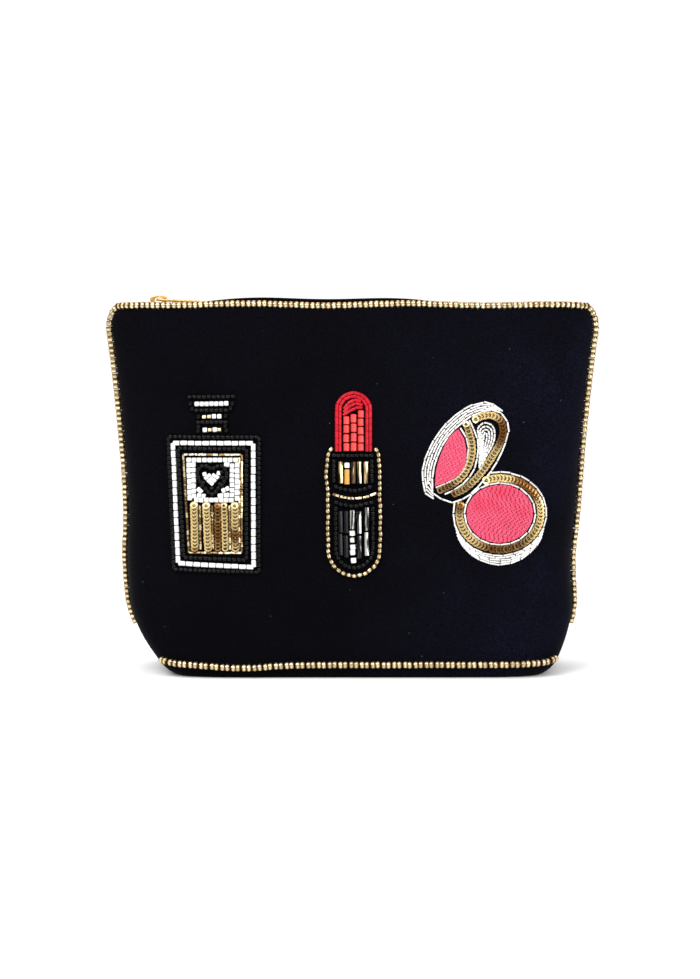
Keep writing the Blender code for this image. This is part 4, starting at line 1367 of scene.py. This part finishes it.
class MAKEUP_BAG_OT_perfume(Builder, bpy.types.Operator):
    """Sews the perfume bottle on the left of the front."""

    bl_idname = "makeup_bag.perfume"
    bl_label = "Perfume bottle"

    def hold(self, piece):
        bend(piece, LEFT, FRONT)

    def sides(self, corners):
        """The four sides of a frame from its corners, low left first, as lines."""
        return [[corners[i], corners[(i + 1) % 4]] for i in range(4)]

    def seeds(self, lines, lift, seed):
        beads = self.beads
        places = []
        for number, line in enumerate(lines):
            places += sewn(self.form, line, beads.seed_pitch, lift, jitter=0.07 * MM, seed=seed + number)[0]
        return [(seed_bead(beads.seed_width, beads.seed_pitch * 0.8), places)]

    def tubes(self, lines, pitch, width, lift, seed, jitter=0.04 * MM):
        """Tube beads along each line, cut to fill it end to end."""
        parts = []
        for number, line in enumerate(lines):
            places, gap = sewn(self.form, line, pitch, lift, jitter=jitter, seed=seed + number)
            parts.append((tube_bead(width, gap * 0.965), places))
        return parts

    def frames(self):
        seed_lift = self.beads.seed_width / 2
        outer = in_mm((-60.8, 36.9), (-31.9, 36.0), (-31.9, 81.8), (-62.9, 81.8))
        white = in_mm((-59.4, 39.0), (-33.7, 37.7), (-33.9, 79.7), (-61.3, 79.7))
        inner = in_mm((-57.5, 41.0), (-36.2, 40.2), (-36.2, 77.8), (-59.5, 77.8))
        gold = in_mm((-55.7, 42.6), (-37.8, 42.6), (-37.8, 75.8), (-57.8, 75.8))
        seeds = self.seeds(self.sides(outer), seed_lift, 100)
        self.sew("perfume_outer_seeds", seeds, "black_glass", "perfume_black_frame", 1)
        white_parts = self.tubes(self.sides(white), 2.55 * MM, self.beads.white_width, seed_lift, 110)
        self.sew("perfume_white_tubes", white_parts, "white_glass", "perfume_white_frame", 2)
        seeds = self.seeds(self.sides(inner), seed_lift, 120)
        self.sew("perfume_inner_seeds", seeds, "black_glass", "perfume_inner_black_frame", 3)
        fine = self.beads.fine_width
        lines = [*self.sides(gold), in_mm((-38.7, 44.0), (-38.7, 75.0))]
        gold_parts = self.tubes(lines, 2.0 * MM, fine, fine / 2, 130)
        self.sew("perfume_gold_tubes", gold_parts, "gold_glass", "perfume_gold_frame", 4, finish="gold_tube")

    def label(self):
        """White tube beads round a heart of black seeds, with a small white heart inside it."""
        width = self.beads.white_width
        lift = width / 2
        rows = [
            in_mm((-56.7, 74.0), (-39.0, 74.0)),
            in_mm((-55.9, 73.2), (-55.4, 60.2)),
            in_mm((-54.3, 73.2), (-54.0, 60.9)),
            in_mm((-39.4, 73.2), (-39.4, 60.2)),
            in_mm((-41.1, 72.9), (-41.1, 61.4)),
            in_mm((-54.0, 60.5), (-40.4, 60.5)),
            in_mm((-53.0, 62.1), (-49.9, 61.7)),
            in_mm((-46.0, 61.9), (-41.9, 62.3)),
            in_mm((-52.9, 64.5), (-51.2, 62.8)),
            in_mm((-44.6, 63.5), (-41.9, 64.6)),
            in_mm((-43.9, 72.5), (-41.9, 72.4)),
        ]
        parts = self.tubes(rows, 1.75 * MM, width, lift, 140, jitter=0.05 * MM)
        small = in_mm((-50.6, 69.9), (-50.2, 68.3), (-48.1, 66.0), (-46.0, 68.5), (-45.4, 70.2))
        core = in_mm((-49.4, 69.2), (-48.1, 67.7), (-46.9, 69.3))
        parts += self.tubes([small, core], 1.5 * MM, width * 0.92, lift, 160)
        self.sew("perfume_label_tubes", parts, "white_glass", "perfume_label", 5)
        half = ((0.0, -5.2), (2.2, -3.2), (4.3, -0.6), (4.9, 2.2), (3.7, 4.3), (1.6, 4.3), (0.0, 3.3))
        middle = (-47.9, 67.6)
        right = [(middle[0] + x, middle[1] + z) for x, z in half]
        left = [(middle[0] - x, middle[1] + z) for x, z in reversed(half[1:-1])]
        heart = curve_through(in_mm(*right, *left), 5, closed=True)
        beads = self.beads
        pitch = beads.seed_pitch * 0.95
        places = sewn(self.form, heart, pitch, lift, closed=True, jitter=0.1 * MM, seed=170)[0]
        extra = ((-48.0, 64.4), (-45.2, 65.9), (-44.4, 68.0), (-44.7, 69.9), (-50.9, 66.3))
        places += [self.seat_at(x, z, lift, (1, 0, 0.4)) for x, z in extra]
        bead = seed_bead(beads.seed_width, beads.seed_pitch * 0.8)
        self.sew("perfume_heart_seeds", [(bead, places)], "black_glass", "perfume_heart", 6)

    def liquid(self):
        """Columns of overlapping sequins, the third darker, with thin gold tubes between them."""
        beads, form = self.beads, self.form
        # The tones along each column are painted reflection: a higher tone paints a sequin darker, as if
        # turned from the light.
        columns = (
            (-54.0, -53.7, 1.0, (0.1, 0.1, 0.1, 0.5)),
            (-49.9, -49.2, 1.0, (0.1, 0.1, 0.2)),
            (-46.0, -45.9, 0.84, (0.9, 0.7, 0.9, 0.6)),
            (-43.8, -43.4, 0.84, (0.4, 0.15, 0.15)),
            (-40.1, -39.9, 1.0, (0.15, 0.1, 0.9, 0.3)),
        )
        for number, (top_x, low_x, scale, tones) in enumerate(columns):
            places = sewn(
                form,
                in_mm((top_x, 59.2), (low_x, 43.4)),
                beads.sequin_pitch * 0.95,
                0.55 * MM,
                scale=(scale,) * 3,
                jitter=0.06 * MM,
                seed=180 + number,
                tilt=SEQUIN_TILT,
            )[0]
            strand = [(sequin(beads.sequin_width), places)]
            name = f"perfume_sequins_{number}"
            self.sew(name, strand, "gilt", "perfume_sequins", 7 + number, tones, 0.12)
        lines = [in_mm((x, 58.8), (x + 0.2, 43.6)) for x in (-52.0, -47.9, -42.0)]
        parts = self.tubes(lines, 2.1 * MM, beads.fine_width, beads.fine_width / 2, 190)
        self.sew("perfume_gold_dividers", parts, "gold_glass", "perfume_sequins", 9, finish="gold_tube")

    def neck_and_stopper(self):
        """Rows of seeds with short white and gold beads between them."""
        lift = self.beads.seed_width / 2
        rows = [in_mm((-56.4, 95.4), (-40.0, 95.5)), in_mm((-54.0, 90.8), (-42.3, 90.9))]
        seeds = self.seeds(rows, lift, 200)
        seeds += self.dots(((-55.4, 93.1), (-41.1, 93.2), (-54.8, 91.4), (-41.7, 91.6)))
        self.sew("perfume_stopper_seeds", seeds, "black_glass", "perfume_stopper", 10)
        row = in_mm((-54.0, 93.0), (-42.3, 93.2))
        short = self.tubes([row], 1.66 * MM, self.beads.white_width, lift, 210)
        self.sew("perfume_stopper_tubes", short, "white_glass", "perfume_stopper", 11)
        seeds = self.seeds([in_mm((-53.4, 86.8), (-42.6, 86.9))], lift, 220)
        left = ((-52.6, 88.7), (-43.4, 89.0), (-52.6, 85.3))
        right = ((-43.5, 85.6), (-52.7, 83.9), (-43.1, 84.1))
        seeds += self.dots((*left, *right))
        self.sew("perfume_neck_seeds", seeds, "black_glass", "perfume_neck", 12)
        white = [(-47.3, 88.8), (-45.5, 88.8), (-50.4, 84.2), (-47.0, 84.3)]
        gold = [(-50.7, 88.6), (-49.0, 88.7), (-48.7, 84.2), (-45.5, 84.3)]
        white = [self.seat_at(x, z, lift, (1, 0, 0.05)) for x, z in white]
        gold = [self.seat_at(x, z, lift, (1, 0, 0.05)) for x, z in gold]
        bead = tube_bead(self.beads.white_width, 1.6 * MM)
        self.sew("perfume_neck_white", [(bead, white)], "white_glass", "perfume_neck", 13)
        bead = tube_bead(self.beads.white_width * 0.9, 1.5 * MM)
        self.sew("perfume_neck_gold", [(bead, gold)], "gold_glass", "perfume_neck", 14)

    def dots(self, spots):
        """Single seeds at the given (x, z) places in millimetres."""
        places = [self.seat_at(x, z, self.beads.seed_width / 2, (0.3, 0, 1)) for x, z in spots]
        return [(seed_bead(self.beads.seed_width, self.beads.seed_pitch * 0.8), places)]

    def execute(self, context):
        self.ready(context)
        self.frames()
        self.label()
        self.liquid()
        self.neck_and_stopper()
        return {"FINISHED"}


class MAKEUP_BAG_OT_lipstick(Builder, bpy.types.Operator):
    """Sews the lipstick in the middle of the front."""

    bl_idname = "makeup_bag.lipstick"
    bl_label = "Lipstick"

    def hold(self, piece):
        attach(piece, "front")

    def bullet(self):
        """Strands of red tubes bent into arches, with coral tubes in the hollow."""
        form, width = self.form, 1.15 * MM
        middle, dome = (0.35 * MM, 91.0 * MM), 5.75 * MM
        strands = {"outline": [], "inline": []}
        for word, half, low in (("outline", dome, 76.9), ("inline", dome - width, 76.9)):
            foot_left, foot_right = (middle[0] - half, low * MM), (middle[0] + half, low * MM)
            strands[word].append([foot_left, *arc(middle, (half, half), 180, 0, 18), foot_right])
        strands["inline"] += [
            curve_through(in_mm((-2.9, 91.3), (-1.2, 93.4), (1.0, 94.3), (2.9, 93.9)), 4),
            curve_through(in_mm((-3.0, 90.2), (-1.0, 92.1), (1.3, 93.1), (3.4, 92.6)), 4),
            curve_through(in_mm((-3.2, 89.2), (-0.8, 90.7), (1.6, 91.7), (3.4, 91.7)), 4),
        ]
        for number, (word, lines) in enumerate(strands.items()):
            parts = []
            for line_number, line in enumerate(lines):
                places, gap = sewn(form, line, 2.3 * MM, width / 2, seed=300 + line_number)
                parts.append((tube_bead(width, gap * 1.02, edge=0.08), places))
            node = f"lipstick_bullet_{word}"
            self.sew(f"lipstick_{word}_strands", parts, "red_glass", node, 30 + number)
        parts = []
        for x, top, count in ((-2.05, 88.9, 4), (0.45, 89.7, 4), (2.9, 90.9, 5)):
            line = in_mm((x, 76.9), (x - 0.05, top))
            pitch = (top - 76.9) / count * MM
            places, gap = sewn(form, line, pitch, 1.0 * MM, jitter=0.06 * MM, seed=int(310 + x * 10))
            parts.append((tube_bead(2.05 * MM, gap * 0.95), places))
        self.sew("lipstick_coral_tubes", parts, "red_glass", "lipstick_bullet_fill", 33, finish="coral_glass")

    def outline(self):
        form, beads = self.form, self.beads
        width = 1.45 * MM
        left = [
            (-6.8, 78.3),
            (-8.0, 76.6),
            (-8.6, 73.5),
            (-8.9, 68.5),
            (-8.4, 62.0),
            (-8.4, 50.0),
            (-8.3, 43.8),
        ]
        low = arc((0.55 * MM, 43.8 * MM), (8.85 * MM, 8.9 * MM), 190, 350, 14)
        right = [(9.45, 43.8), (9.5, 50.0), (9.4, 58.0), (9.3, 66.0), (9.1, 73.5), (8.6, 76.6), (7.4, 78.3)]
        line = [*curve_through(in_mm(*left), 5), *low, *curve_through(in_mm(*right), 5)]
        places = sewn(form, line, 1.92 * MM, width / 2, jitter=0.12 * MM, seed=320)[0]
        bead = seed_bead(width, 1.8 * MM, hole=0.3)
        self.sew("lipstick_outline_beads", [(bead, places)], "gold_glass", "lipstick_gold_outline", 34)
        band = curve_through(in_mm((-6.9, 62.6), (-3.0, 61.5), (0.7, 61.1), (4.6, 61.6), (8.3, 62.9)), 5)
        places, gap = sewn(form, band, 2.45 * MM, 0.5 * MM, seed=321)
        tubes = tube_bead(beads.fine_width * 1.1, gap * 0.88)
        band = [(tubes, places)]
        self.sew("lipstick_band_tubes", band, "gilt", "lipstick_gold_band", 35, (0.5,), 0.3, "gold_tube")

    def rings(self):
        """The rings of black seeds round the collar and the case."""
        form, beads = self.form, self.beads
        collar = [
            in_mm((-7.1, 75.6), (7.2, 75.6)),
            in_mm((-6.4, 74.3), (-6.4, 66.3)),
            in_mm((6.6, 74.3), (6.6, 66.3)),
            curve_through(in_mm((-6.3, 65.4), (-3.0, 64.2), (0.4, 63.8), (3.6, 64.2), (6.6, 65.4)), 5),
        ]
        top = curve_through(in_mm((-6.4, 60.0), (-3.0, 58.9), (0.4, 58.5), (3.8, 59.0), (7.3, 60.0)), 5)
        low = arc((0.65 * MM, 44.0 * MM), (6.35 * MM, 6.4 * MM), 180, 360, 14)
        case = [top, [*in_mm((-5.75, 58.4)), *low, *in_mm((7.0, 58.4))]]
        lift, loose = beads.seed_width / 2, 0.08 * MM
        for word, lines in (("collar", collar), ("case", case)):
            places = []
            for number, line in enumerate(lines):
                places += sewn(form, line, 1.68 * MM, lift, jitter=loose, seed=330 + number)[0]
            bead = seed_bead(beads.seed_width * 1.05, beads.seed_pitch * 0.84)
            node = f"lipstick_{word}_beads"
            self.sew(f"lipstick_{word}_seeds", [(bead, places)], "black_glass", node, 36)

    def bugles(self):
        """Long upright tubes: gold and amber in the collar, dark with silver streaks in the case."""
        form, width = self.form, self.beads.bugle_width
        gold, amber, silver = [], [], []
        for x in (-4.0, 0.3, 2.35, 4.55):
            places, gap = sewn(form, in_mm((x, 73.7), (x, 65.9)), 7.8 * MM, width / 2, seed=int(340 + x))
            gold.append((tube_bead(width, gap * 0.99), places))
        places, gap = sewn(form, in_mm((-1.85, 71.0), (-1.85, 65.7)), 5.2 * MM, width / 2, seed=350)
        amber.append((tube_bead(width, gap * 0.99), places))
        places, gap = sewn(form, in_mm((-1.85, 73.2), (-1.85, 71.3)), 1.9 * MM, width / 2, seed=351)
        silver.append((tube_bead(width, gap), places))
        node = "lipstick_collar_bugles"
        self.sew("lipstick_collar_tubes", gold, "gilt", node, 37, (0.3,), 0.2, "smoked_gold")
        self.sew("lipstick_amber_tube", amber, "gilt", node, 38, finish="amber_glass")
        self.sew("lipstick_silver_cube", silver, "silver", node, 39, finish="white_glass")
        node = "lipstick_case_bugles"
        # Each column's tone sets how much painted highlight streak its tubes show.
        columns = (
            (-4.2, 57.0, 49.3, -0.1),
            (-2.3, 57.0, 49.1, 0.05),
            (2.25, 56.9, 48.9, 0.2),
            (4.8, 58.2, 49.9, 0.55),
        )
        for number, (x, top, low, tone) in enumerate(columns):
            foot = low - (7.3 if number == 0 else 8.2)
            places = []
            for high, base in ((top, low), (low - 0.4, foot)):
                line, long = in_mm((x, high), (x + 0.1, base)), (high - base) * MM
                places += sewn(form, line, long, width / 2, jitter=0.05 * MM, seed=360 + number)[0]
            tubes = tube_bead(width * 0.98, (top - low) * MM * 0.99)
            name, strand = f"lipstick_case_tubes_{number}", [(tubes, places)]
            self.sew(name, strand, "gunmetal", node, 40 + number, (tone,), 0.12)
        places, gap = sewn(form, in_mm((-0.1, 57.2), (-0.1, 50.5)), 6.7 * MM, width / 2, seed=380)
        grey = [(tube_bead(width, gap), places)]
        self.sew("lipstick_grey_tube", grey, "gunmetal", node, 44, (0.7,), 0.0)
        cubes = {
            "white_glass": ((-0.1, 49.3), (0.1, 44.6), (0.05, 42.8), (0.35, 40.1)),
            "gunmetal": ((-0.1, 47.0),),
        }
        for number, (finish, spots) in enumerate(cubes.items()):
            places = [self.seat_at(x, z, width / 2, (0.05 * number - 0.1, 0, 1)) for x, z in spots]
            cube = [(tube_bead(width, 1.9 * MM), places)]
            self.sew(f"lipstick_cubes_{number}", cube, "silver", node, 45 + number, (0.95,), 0.0, finish)

    def execute(self, context):
        self.ready(context)
        self.bullet()
        self.outline()
        self.rings()
        self.bugles()
        return {"FINISHED"}


class MAKEUP_BAG_OT_compact(Builder, bpy.types.Operator):
    """Sews the open powder compact on the right of the front."""

    bl_idname = "makeup_bag.compact"
    bl_label = "Powder compact"

    pan_middle = (50.3 * MM, 55.8 * MM)

    def hold(self, piece):
        bend(piece, RIGHT, FRONT)

    def wires(self, lines, seed, long=3.6 * MM):
        """Short lengths of coiled wire end to end along each line."""
        width, parts = self.beads.wire_width, []
        for number, line in enumerate(lines):
            places, gap = sewn(self.form, line, long, width / 2, jitter=0.07 * MM, seed=seed + number)
            parts.append((wire_piece(width, gap), places))
        return parts

    def sequins(self, line, seed, scale=1.0):
        places = sewn(
            self.form,
            line,
            self.beads.sequin_pitch,
            0.55 * MM,
            scale=(scale,) * 3,
            jitter=0.05 * MM,
            seed=seed,
            tilt=SEQUIN_TILT,
        )[0]
        return [(sequin(self.beads.sequin_width), places)]

    def satin(self, name, outline, lean, node, seed):
        """Rows of floss across an outline, each row broken into stitches that step on from row to row."""
        form, beads = self.form, self.beads
        pitch, long = beads.thread_width * 0.92, 1.55 * MM
        along, up = Vector((math.cos(lean), math.sin(lean))), Vector((-math.sin(lean), math.cos(lean)))
        points = [Vector(point) for point in outline]
        heights = [point.dot(up) for point in points]
        places, row = [], 0
        level = min(heights) + pitch / 2
        picks = random.Random(seed)
        while level < max(heights):
            cuts = []
            for a, b in zip(points, points[1:] + points[:1]):
                if (a.dot(up) - level) * (b.dot(up) - level) < 0:
                    share = (level - a.dot(up)) / (b.dot(up) - a.dot(up))
                    cuts.append(a.lerp(b, share).dot(along))
            if len(cuts) >= 2:
                left, right = min(cuts), max(cuts)
                ends = [left]
                spot = left + long * (0.35, 0.85, 0.6, 0.1)[row % 4]
                while spot < right - long * 0.2:
                    ends.append(spot + picks.uniform(-0.08, 0.08) * MM)
                    spot += long
                ends.append(right)
                for start, end in zip(ends, ends[1:]):
                    x, z = along * (start + end) / 2 + up * level
                    place, outward = form.front(x, z, 0.5 * MM)
                    ahead = form.front(x + along.x * MM, z + along.y * MM, 0.5 * MM)[0] - place
                    places.append(seat(place, ahead, outward, ((end - start) / long, 1.0, 0.8)))
            level += pitch
            row += 1
        self.sew(name, [(stitch(beads.thread_width, long), places)], "pink_thread", node, seed)
        self.ground(f"{name}_ground", points)

    def ground(self, name, points):
        """The padding under the stitches, so that no velvet shows between them, marked with painted shade so
        that it reads as the shade between them.
        """
        form = self.form
        bm = bmesh.new()
        bmesh.ops.create_circle(bm, cap_ends=True, segments=len(points), radius=1.0)
        for vert, point in zip(bm.verts, points):
            vert.co = form.front(point.x, point.y, 0.05 * MM)[0]
        raised = bmesh.ops.extrude_face_region(bm, geom=bm.faces[:], use_keep_orig=True)["geom"]
        top = [item for item in raised if isinstance(item, bmesh.types.BMVert)]
        bmesh.ops.translate(bm, vec=(0, -0.45 * MM, 0), verts=top)
        # Painted shade: the padding is painted the dark red-brown of shade between stitches.
        painted_shade = bm.verts.layers.float.new("painted_shade")
        for vert in bm.verts:
            vert[painted_shade] = 1.0
        bmesh.ops.recalc_face_normals(bm, faces=bm.faces)
        self.hold(show(name, bm, self.stuff["pink_thread"]))

    def pan(self):
        middle = self.pan_middle
        satin = arc(middle, (11.4 * MM, 9.8 * MM), 0, 360, 48)[:-1]
        self.satin("compact_powder_thread", satin, math.radians(-10), "compact_pan_satin", 51)
        # The tones along each strand are painted reflection: a higher tone paints a sequin darker, as if
        # turned from the light.
        tones = {
            "right": ((0.05, 0.05, 0.95, 0.8, 0.1, 0.1, 0.6, 0.65, 0.8), (112, -105)),
            "left": ((0.9, 0.15, 0.1, 0.1, 0.35, 0.75), (163, 252)),
        }
        for number, (word, (strand, turns)) in enumerate(tones.items()):
            ring = arc(middle, (13.9 * MM, 12.1 * MM), *turns, 40)
            parts = self.sequins(ring, 400 + number)
            name = f"compact_pan_ring_{word}"
            self.sew(name, parts, "gilt", "compact_pan_sequins", 60 + number, strand, 0.1)
        lines = [
            arc(middle, (12.0 * MM, 10.4 * MM), 0, 360, 60),
            arc(middle, (15.8 * MM, 14.1 * MM), 102, -195, 60),
        ]
        for number in range(1, 5):
            grown = (15.8 + 0.10 * number, 14.1 + 0.74 * number)
            lines.append(arc(middle, (grown[0] * MM, grown[1] * MM), 196 + 3 * number, 344 - 3 * number, 40))
        self.sew("compact_case_wire", self.wires(lines, 410), "silver", "compact_case_rim", 53)

    def mirror(self):
        """Loops of wire, one inside the other, that fill a leaning drop."""
        drop = (
            (42.9, 84.4),
            (45.1, 86.5),
            (47.9, 85.5),
            (48.6, 82.3),
            (47.6, 78.7),
            (45.6, 75.1),
            (43.5, 71.0),
            (43.3, 74.5),
            (43.6, 79.5),
        )
        middle, lines = 79.6, []

        def lean(z):
            return 43.5 + (z - 71.0) * 0.17

        for number in range(4):
            narrow, low = 1 - 0.27 * number, 1 - 0.16 * number
            loop = []
            for x, z in drop:
                near = middle + (z - middle) * low
                loop.append((lean(near) + (x - lean(z)) * narrow, near))
            lines.append([*curve_through(in_mm(*loop), 6, closed=True), in_mm(loop[0])[0]])
        self.sew("compact_mirror_wire", self.wires(lines, 450, 1.5 * MM), "silver", "compact_mirror", 59)

    def lid(self):
        lens_left = in_mm((28.1, 65.3), (28.5, 70.6), (29.9, 75.5), (32.3, 80.7), (34.3, 83.1), (36.2, 84.5))
        lens_right = in_mm((38.1, 81.4), (38.9, 77.6), (38.7, 73.6), (37.5, 70.4), (34.0, 67.4), (30.6, 66.0))
        lens = [*curve_through(lens_left, 4), *curve_through(lens_right, 4)]
        self.satin("compact_lid_thread", lens, math.radians(-14), "compact_lid_satin", 54)
        band_one = in_mm(
            (38.7, 86.7),
            (40.2, 82.3),
            (40.9, 77.9),
            (40.3, 73.9),
            (38.6, 70.2),
            (36.2, 67.4),
            (32.7, 65.1),
            (29.2, 63.6),
        )
        band_two = in_mm(
            (41.6, 87.6),
            (44.7, 89.0),
            (48.1, 89.0),
            (50.8, 86.9),
            (51.4, 83.1),
            (50.1, 79.3),
            (47.8, 75.3),
            (45.0, 71.2),
            (42.0, 67.6),
            (38.3, 64.4),
            (34.2, 62.4),
        )
        node = "compact_lid_sequins"
        # The tones along both bands are painted reflection: a higher tone paints a sequin darker, as if
        # turned from the light.
        tones = (0.4, 0.3, 0.2, 0.1, 0.05, 0.1, 0.8, 0.5)
        strand = self.sequins(curve_through(band_one), 420, 0.92)
        self.sew("compact_inner_band", strand, "gilt", node, 55, tones, 0.1)
        tones = (0.3, 0.1, 0.9, 0.95, 0.1, 0.35, 0.15, 0.5, 0.6)
        strand = self.sequins(curve_through(band_two), 421, 0.95)
        self.sew("compact_outer_band", strand, "gilt", node, 58, tones, 0.1)
        parting = in_mm(
            (39.9, 87.7),
            (41.7, 83.9),
            (42.8, 79.9),
            (42.6, 75.5),
            (41.4, 71.0),
            (39.0, 67.3),
            (35.4, 64.4),
            (31.4, 62.4),
        )
        lens_line = in_mm((36.8, 85.0), (39.2, 80.3), (39.4, 75.5), (37.9, 70.3), (33.8, 66.9), (28.4, 64.7))
        outline = in_mm(
            (43.9, 90.5),
            (47.5, 90.9),
            (50.9, 89.6),
            (53.0, 86.3),
            (52.9, 82.3),
            (50.9, 76.7),
            (48.1, 71.4),
            (44.7, 67.2),
            (41.1, 63.3),
            (37.5, 60.9),
            (33.7, 59.9),
            (29.9, 61.2),
            (27.6, 62.8),
        )
        lines = [curve_through(line) for line in (parting, lens_line, outline)]
        self.sew("compact_lid_wire", self.wires(lines, 430), "silver", "compact_mirror", 56)
        self.mirror()
        outer = in_mm(
            (27.9, 61.1),
            (25.2, 63.0),
            (24.1, 67.0),
            (24.1, 71.4),
            (25.6, 76.3),
            (28.1, 81.1),
            (31.5, 85.7),
            (35.3, 89.2),
            (39.7, 92.0),
            (44.3, 93.4),
            (47.7, 93.0),
            (51.4, 90.6),
        )
        inner = in_mm(
            (27.7, 64.4),
            (27.3, 65.8),
            (27.3, 68.3),
            (27.8, 71.4),
            (29.1, 75.6),
            (31.1, 79.6),
            (33.8, 83.3),
            (36.9, 86.2),
            (40.3, 88.7),
            (43.9, 90.2),
            (45.9, 90.8),
            (47.7, 91.2),
        )
        rows = []
        for number in range(5):
            share = number / 4
            row = [tuple(a + (b - a) * share for a, b in zip(p, q)) for p, q in zip(outer, inner)]
            rows.append(curve_through(row))
        self.sew("compact_lid_rim_wire", self.wires(rows, 440), "silver", "compact_lid_rim", 57)

    def execute(self, context):
        self.ready(context)
        self.pan()
        self.lid()
        return {"FINISHED"}


class MAKEUP_BAG_OT_stage(bpy.types.Operator):
    """Sets the pale floor, the soft lights and the camera."""

    bl_idname = "makeup_bag.stage"
    bl_label = "Stage"
    bl_options = {"REGISTER", "UNDO"}

    def light(self, name, place, aim, size, power):
        lamp = bpy.data.lights.new(name, "AREA")
        lamp.size = size
        lamp.energy = power
        made = bpy.data.objects.new(name, lamp)
        made.location = place
        made.rotation_euler = (Vector(aim) - Vector(place)).to_track_quat("-Z", "Y").to_euler()
        bpy.context.scene.collection.objects.link(made)

    def room(self, brightness):
        """A white room, lit from above and from the left, with a dim front wall for glass to reflect."""
        world = bpy.data.worlds.new("white_room")
        world.use_nodes = True
        tree = world.node_tree
        split = tree.nodes.new("ShaderNodeSeparateXYZ")
        tree.links.new(tree.nodes.new("ShaderNodeTexCoord").outputs["Generated"], split.inputs["Vector"])
        parts = []
        for axis, low, high, dim, bright in (
            ("Z", -0.15, 0.75, 0.42, 1.15),
            ("X", -1.0, 1.0, 0.22, -0.18),
            ("Y", -0.35, 0.45, -0.12, 0.35),
        ):
            wall = tree.nodes.new("ShaderNodeMapRange")
            tree.links.new(split.outputs[axis], wall.inputs["Value"])
            for socket, value in zip(("From Min", "From Max", "To Min", "To Max"), (low, high, dim, bright)):
                wall.inputs[socket].default_value = value
            parts.append(wall.outputs["Result"])
        total = parts[0]
        for part in parts[1:]:
            added = tree.nodes.new("ShaderNodeMath")
            tree.links.new(total, added.inputs[0])
            tree.links.new(part, added.inputs[1])
            total = added.outputs["Value"]
        seen = tree.nodes.new("ShaderNodeMix")
        tree.links.new(tree.nodes.new("ShaderNodeLightPath").outputs["Is Camera Ray"], seen.inputs[0])
        tree.links.new(total, seen.inputs[2])
        seen.inputs[3].default_value = 1.06
        scaled = tree.nodes.new("ShaderNodeMath")
        scaled.operation = "MULTIPLY"
        tree.links.new(seen.outputs[0], scaled.inputs[0])
        scaled.inputs[1].default_value = brightness
        tree.nodes["Background"].inputs["Color"].default_value = (1.0, 1.0, 1.0, 1.0)
        tree.links.new(scaled.outputs["Value"], tree.nodes["Background"].inputs["Strength"])
        return world

    def execute(self, context):
        scene, stage = context.scene, context.scene.bag_stage
        bm = bmesh.new()
        bmesh.ops.create_grid(bm, x_segments=2, y_segments=2, size=3.0)
        mesh = bpy.data.meshes.new("floor")
        bm.to_mesh(mesh)
        bm.free()
        finish = Finish("pale_floor", (0.9, 0.9, 0.9), 0.9, Specular_IOR_Level=0.1, Emission_Strength=0.04)
        finish.shader.inputs["Emission Color"].default_value = (1.0, 1.0, 1.0, 1.0)
        mesh.materials.append(finish.material)
        floor = bpy.data.objects.new("floor", mesh)
        scene.collection.objects.link(floor)
        scene.world = self.room(stage.world)
        aim = (0.0, 0.0, stage.aim_height)
        self.light("key", (-0.45, -0.75, 0.85), aim, 0.6, stage.key)
        self.light("fill", (0.7, -0.6, 0.35), aim, 0.4, stage.fill)
        self.light("sparkle", (0.15, -1.0, 0.75), aim, 0.12, stage.fill * 0.5)
        camera = bpy.data.cameras.new("camera")
        camera.lens = stage.lens
        made = bpy.data.objects.new("camera", camera)
        scene.collection.objects.link(made)
        back = Vector((0, -math.cos(stage.elevation), math.sin(stage.elevation)))
        target = Vector((-0.85 * MM, 0, stage.aim_height))
        made.location = target + back * stage.distance
        made.rotation_euler = (-back).to_track_quat("-Z", "Y").to_euler()
        scene.camera = made
        scene.view_settings.view_transform = "Standard"
        return {"FINISHED"}


OPERATORS = (
    MAKEUP_BAG_OT_velvet,
    MAKEUP_BAG_OT_inside,
    MAKEUP_BAG_OT_zip,
    MAKEUP_BAG_OT_slider,
    MAKEUP_BAG_OT_edging,
    MAKEUP_BAG_OT_perfume,
    MAKEUP_BAG_OT_lipstick,
    MAKEUP_BAG_OT_compact,
    MAKEUP_BAG_OT_stage,
)
GROUPS = {"bag_shape": BagShape, "bag_beads": BagBeads, "bag_colours": BagColours, "bag_stage": BagStage}


class MAKEUP_BAG_PT_sidebar(bpy.types.Panel):
    """Lists the steps and the sizes of the makeup bag."""

    bl_idname = "MAKEUP_BAG_PT_sidebar"
    bl_label = "Makeup bag"
    bl_space_type = "VIEW_3D"
    bl_region_type = "UI"
    bl_category = "Makeup bag"

    def draw(self, context):
        for step in OPERATORS:
            self.layout.operator(step.bl_idname)
        for name, group in GROUPS.items():
            box = self.layout.box()
            for size in group.__annotations__:
                box.prop(getattr(context.scene, name), size)


def register():
    for made in (*GROUPS.values(), *OPERATORS, MAKEUP_BAG_PT_sidebar):
        bpy.utils.register_class(made)
    for name, group in GROUPS.items():
        setattr(bpy.types.Scene, name, PointerProperty(type=group))


def unregister():
    for name in GROUPS:
        delattr(bpy.types.Scene, name)
    for made in reversed((*GROUPS.values(), *OPERATORS, MAKEUP_BAG_PT_sidebar)):
        bpy.utils.unregister_class(made)


def main():
    """Builds every piece in order."""
    register()
    for step in OPERATORS:
        getattr(bpy.ops.makeup_bag, step.bl_idname.split(".")[1])()


if __name__ == "__main__":
    main()
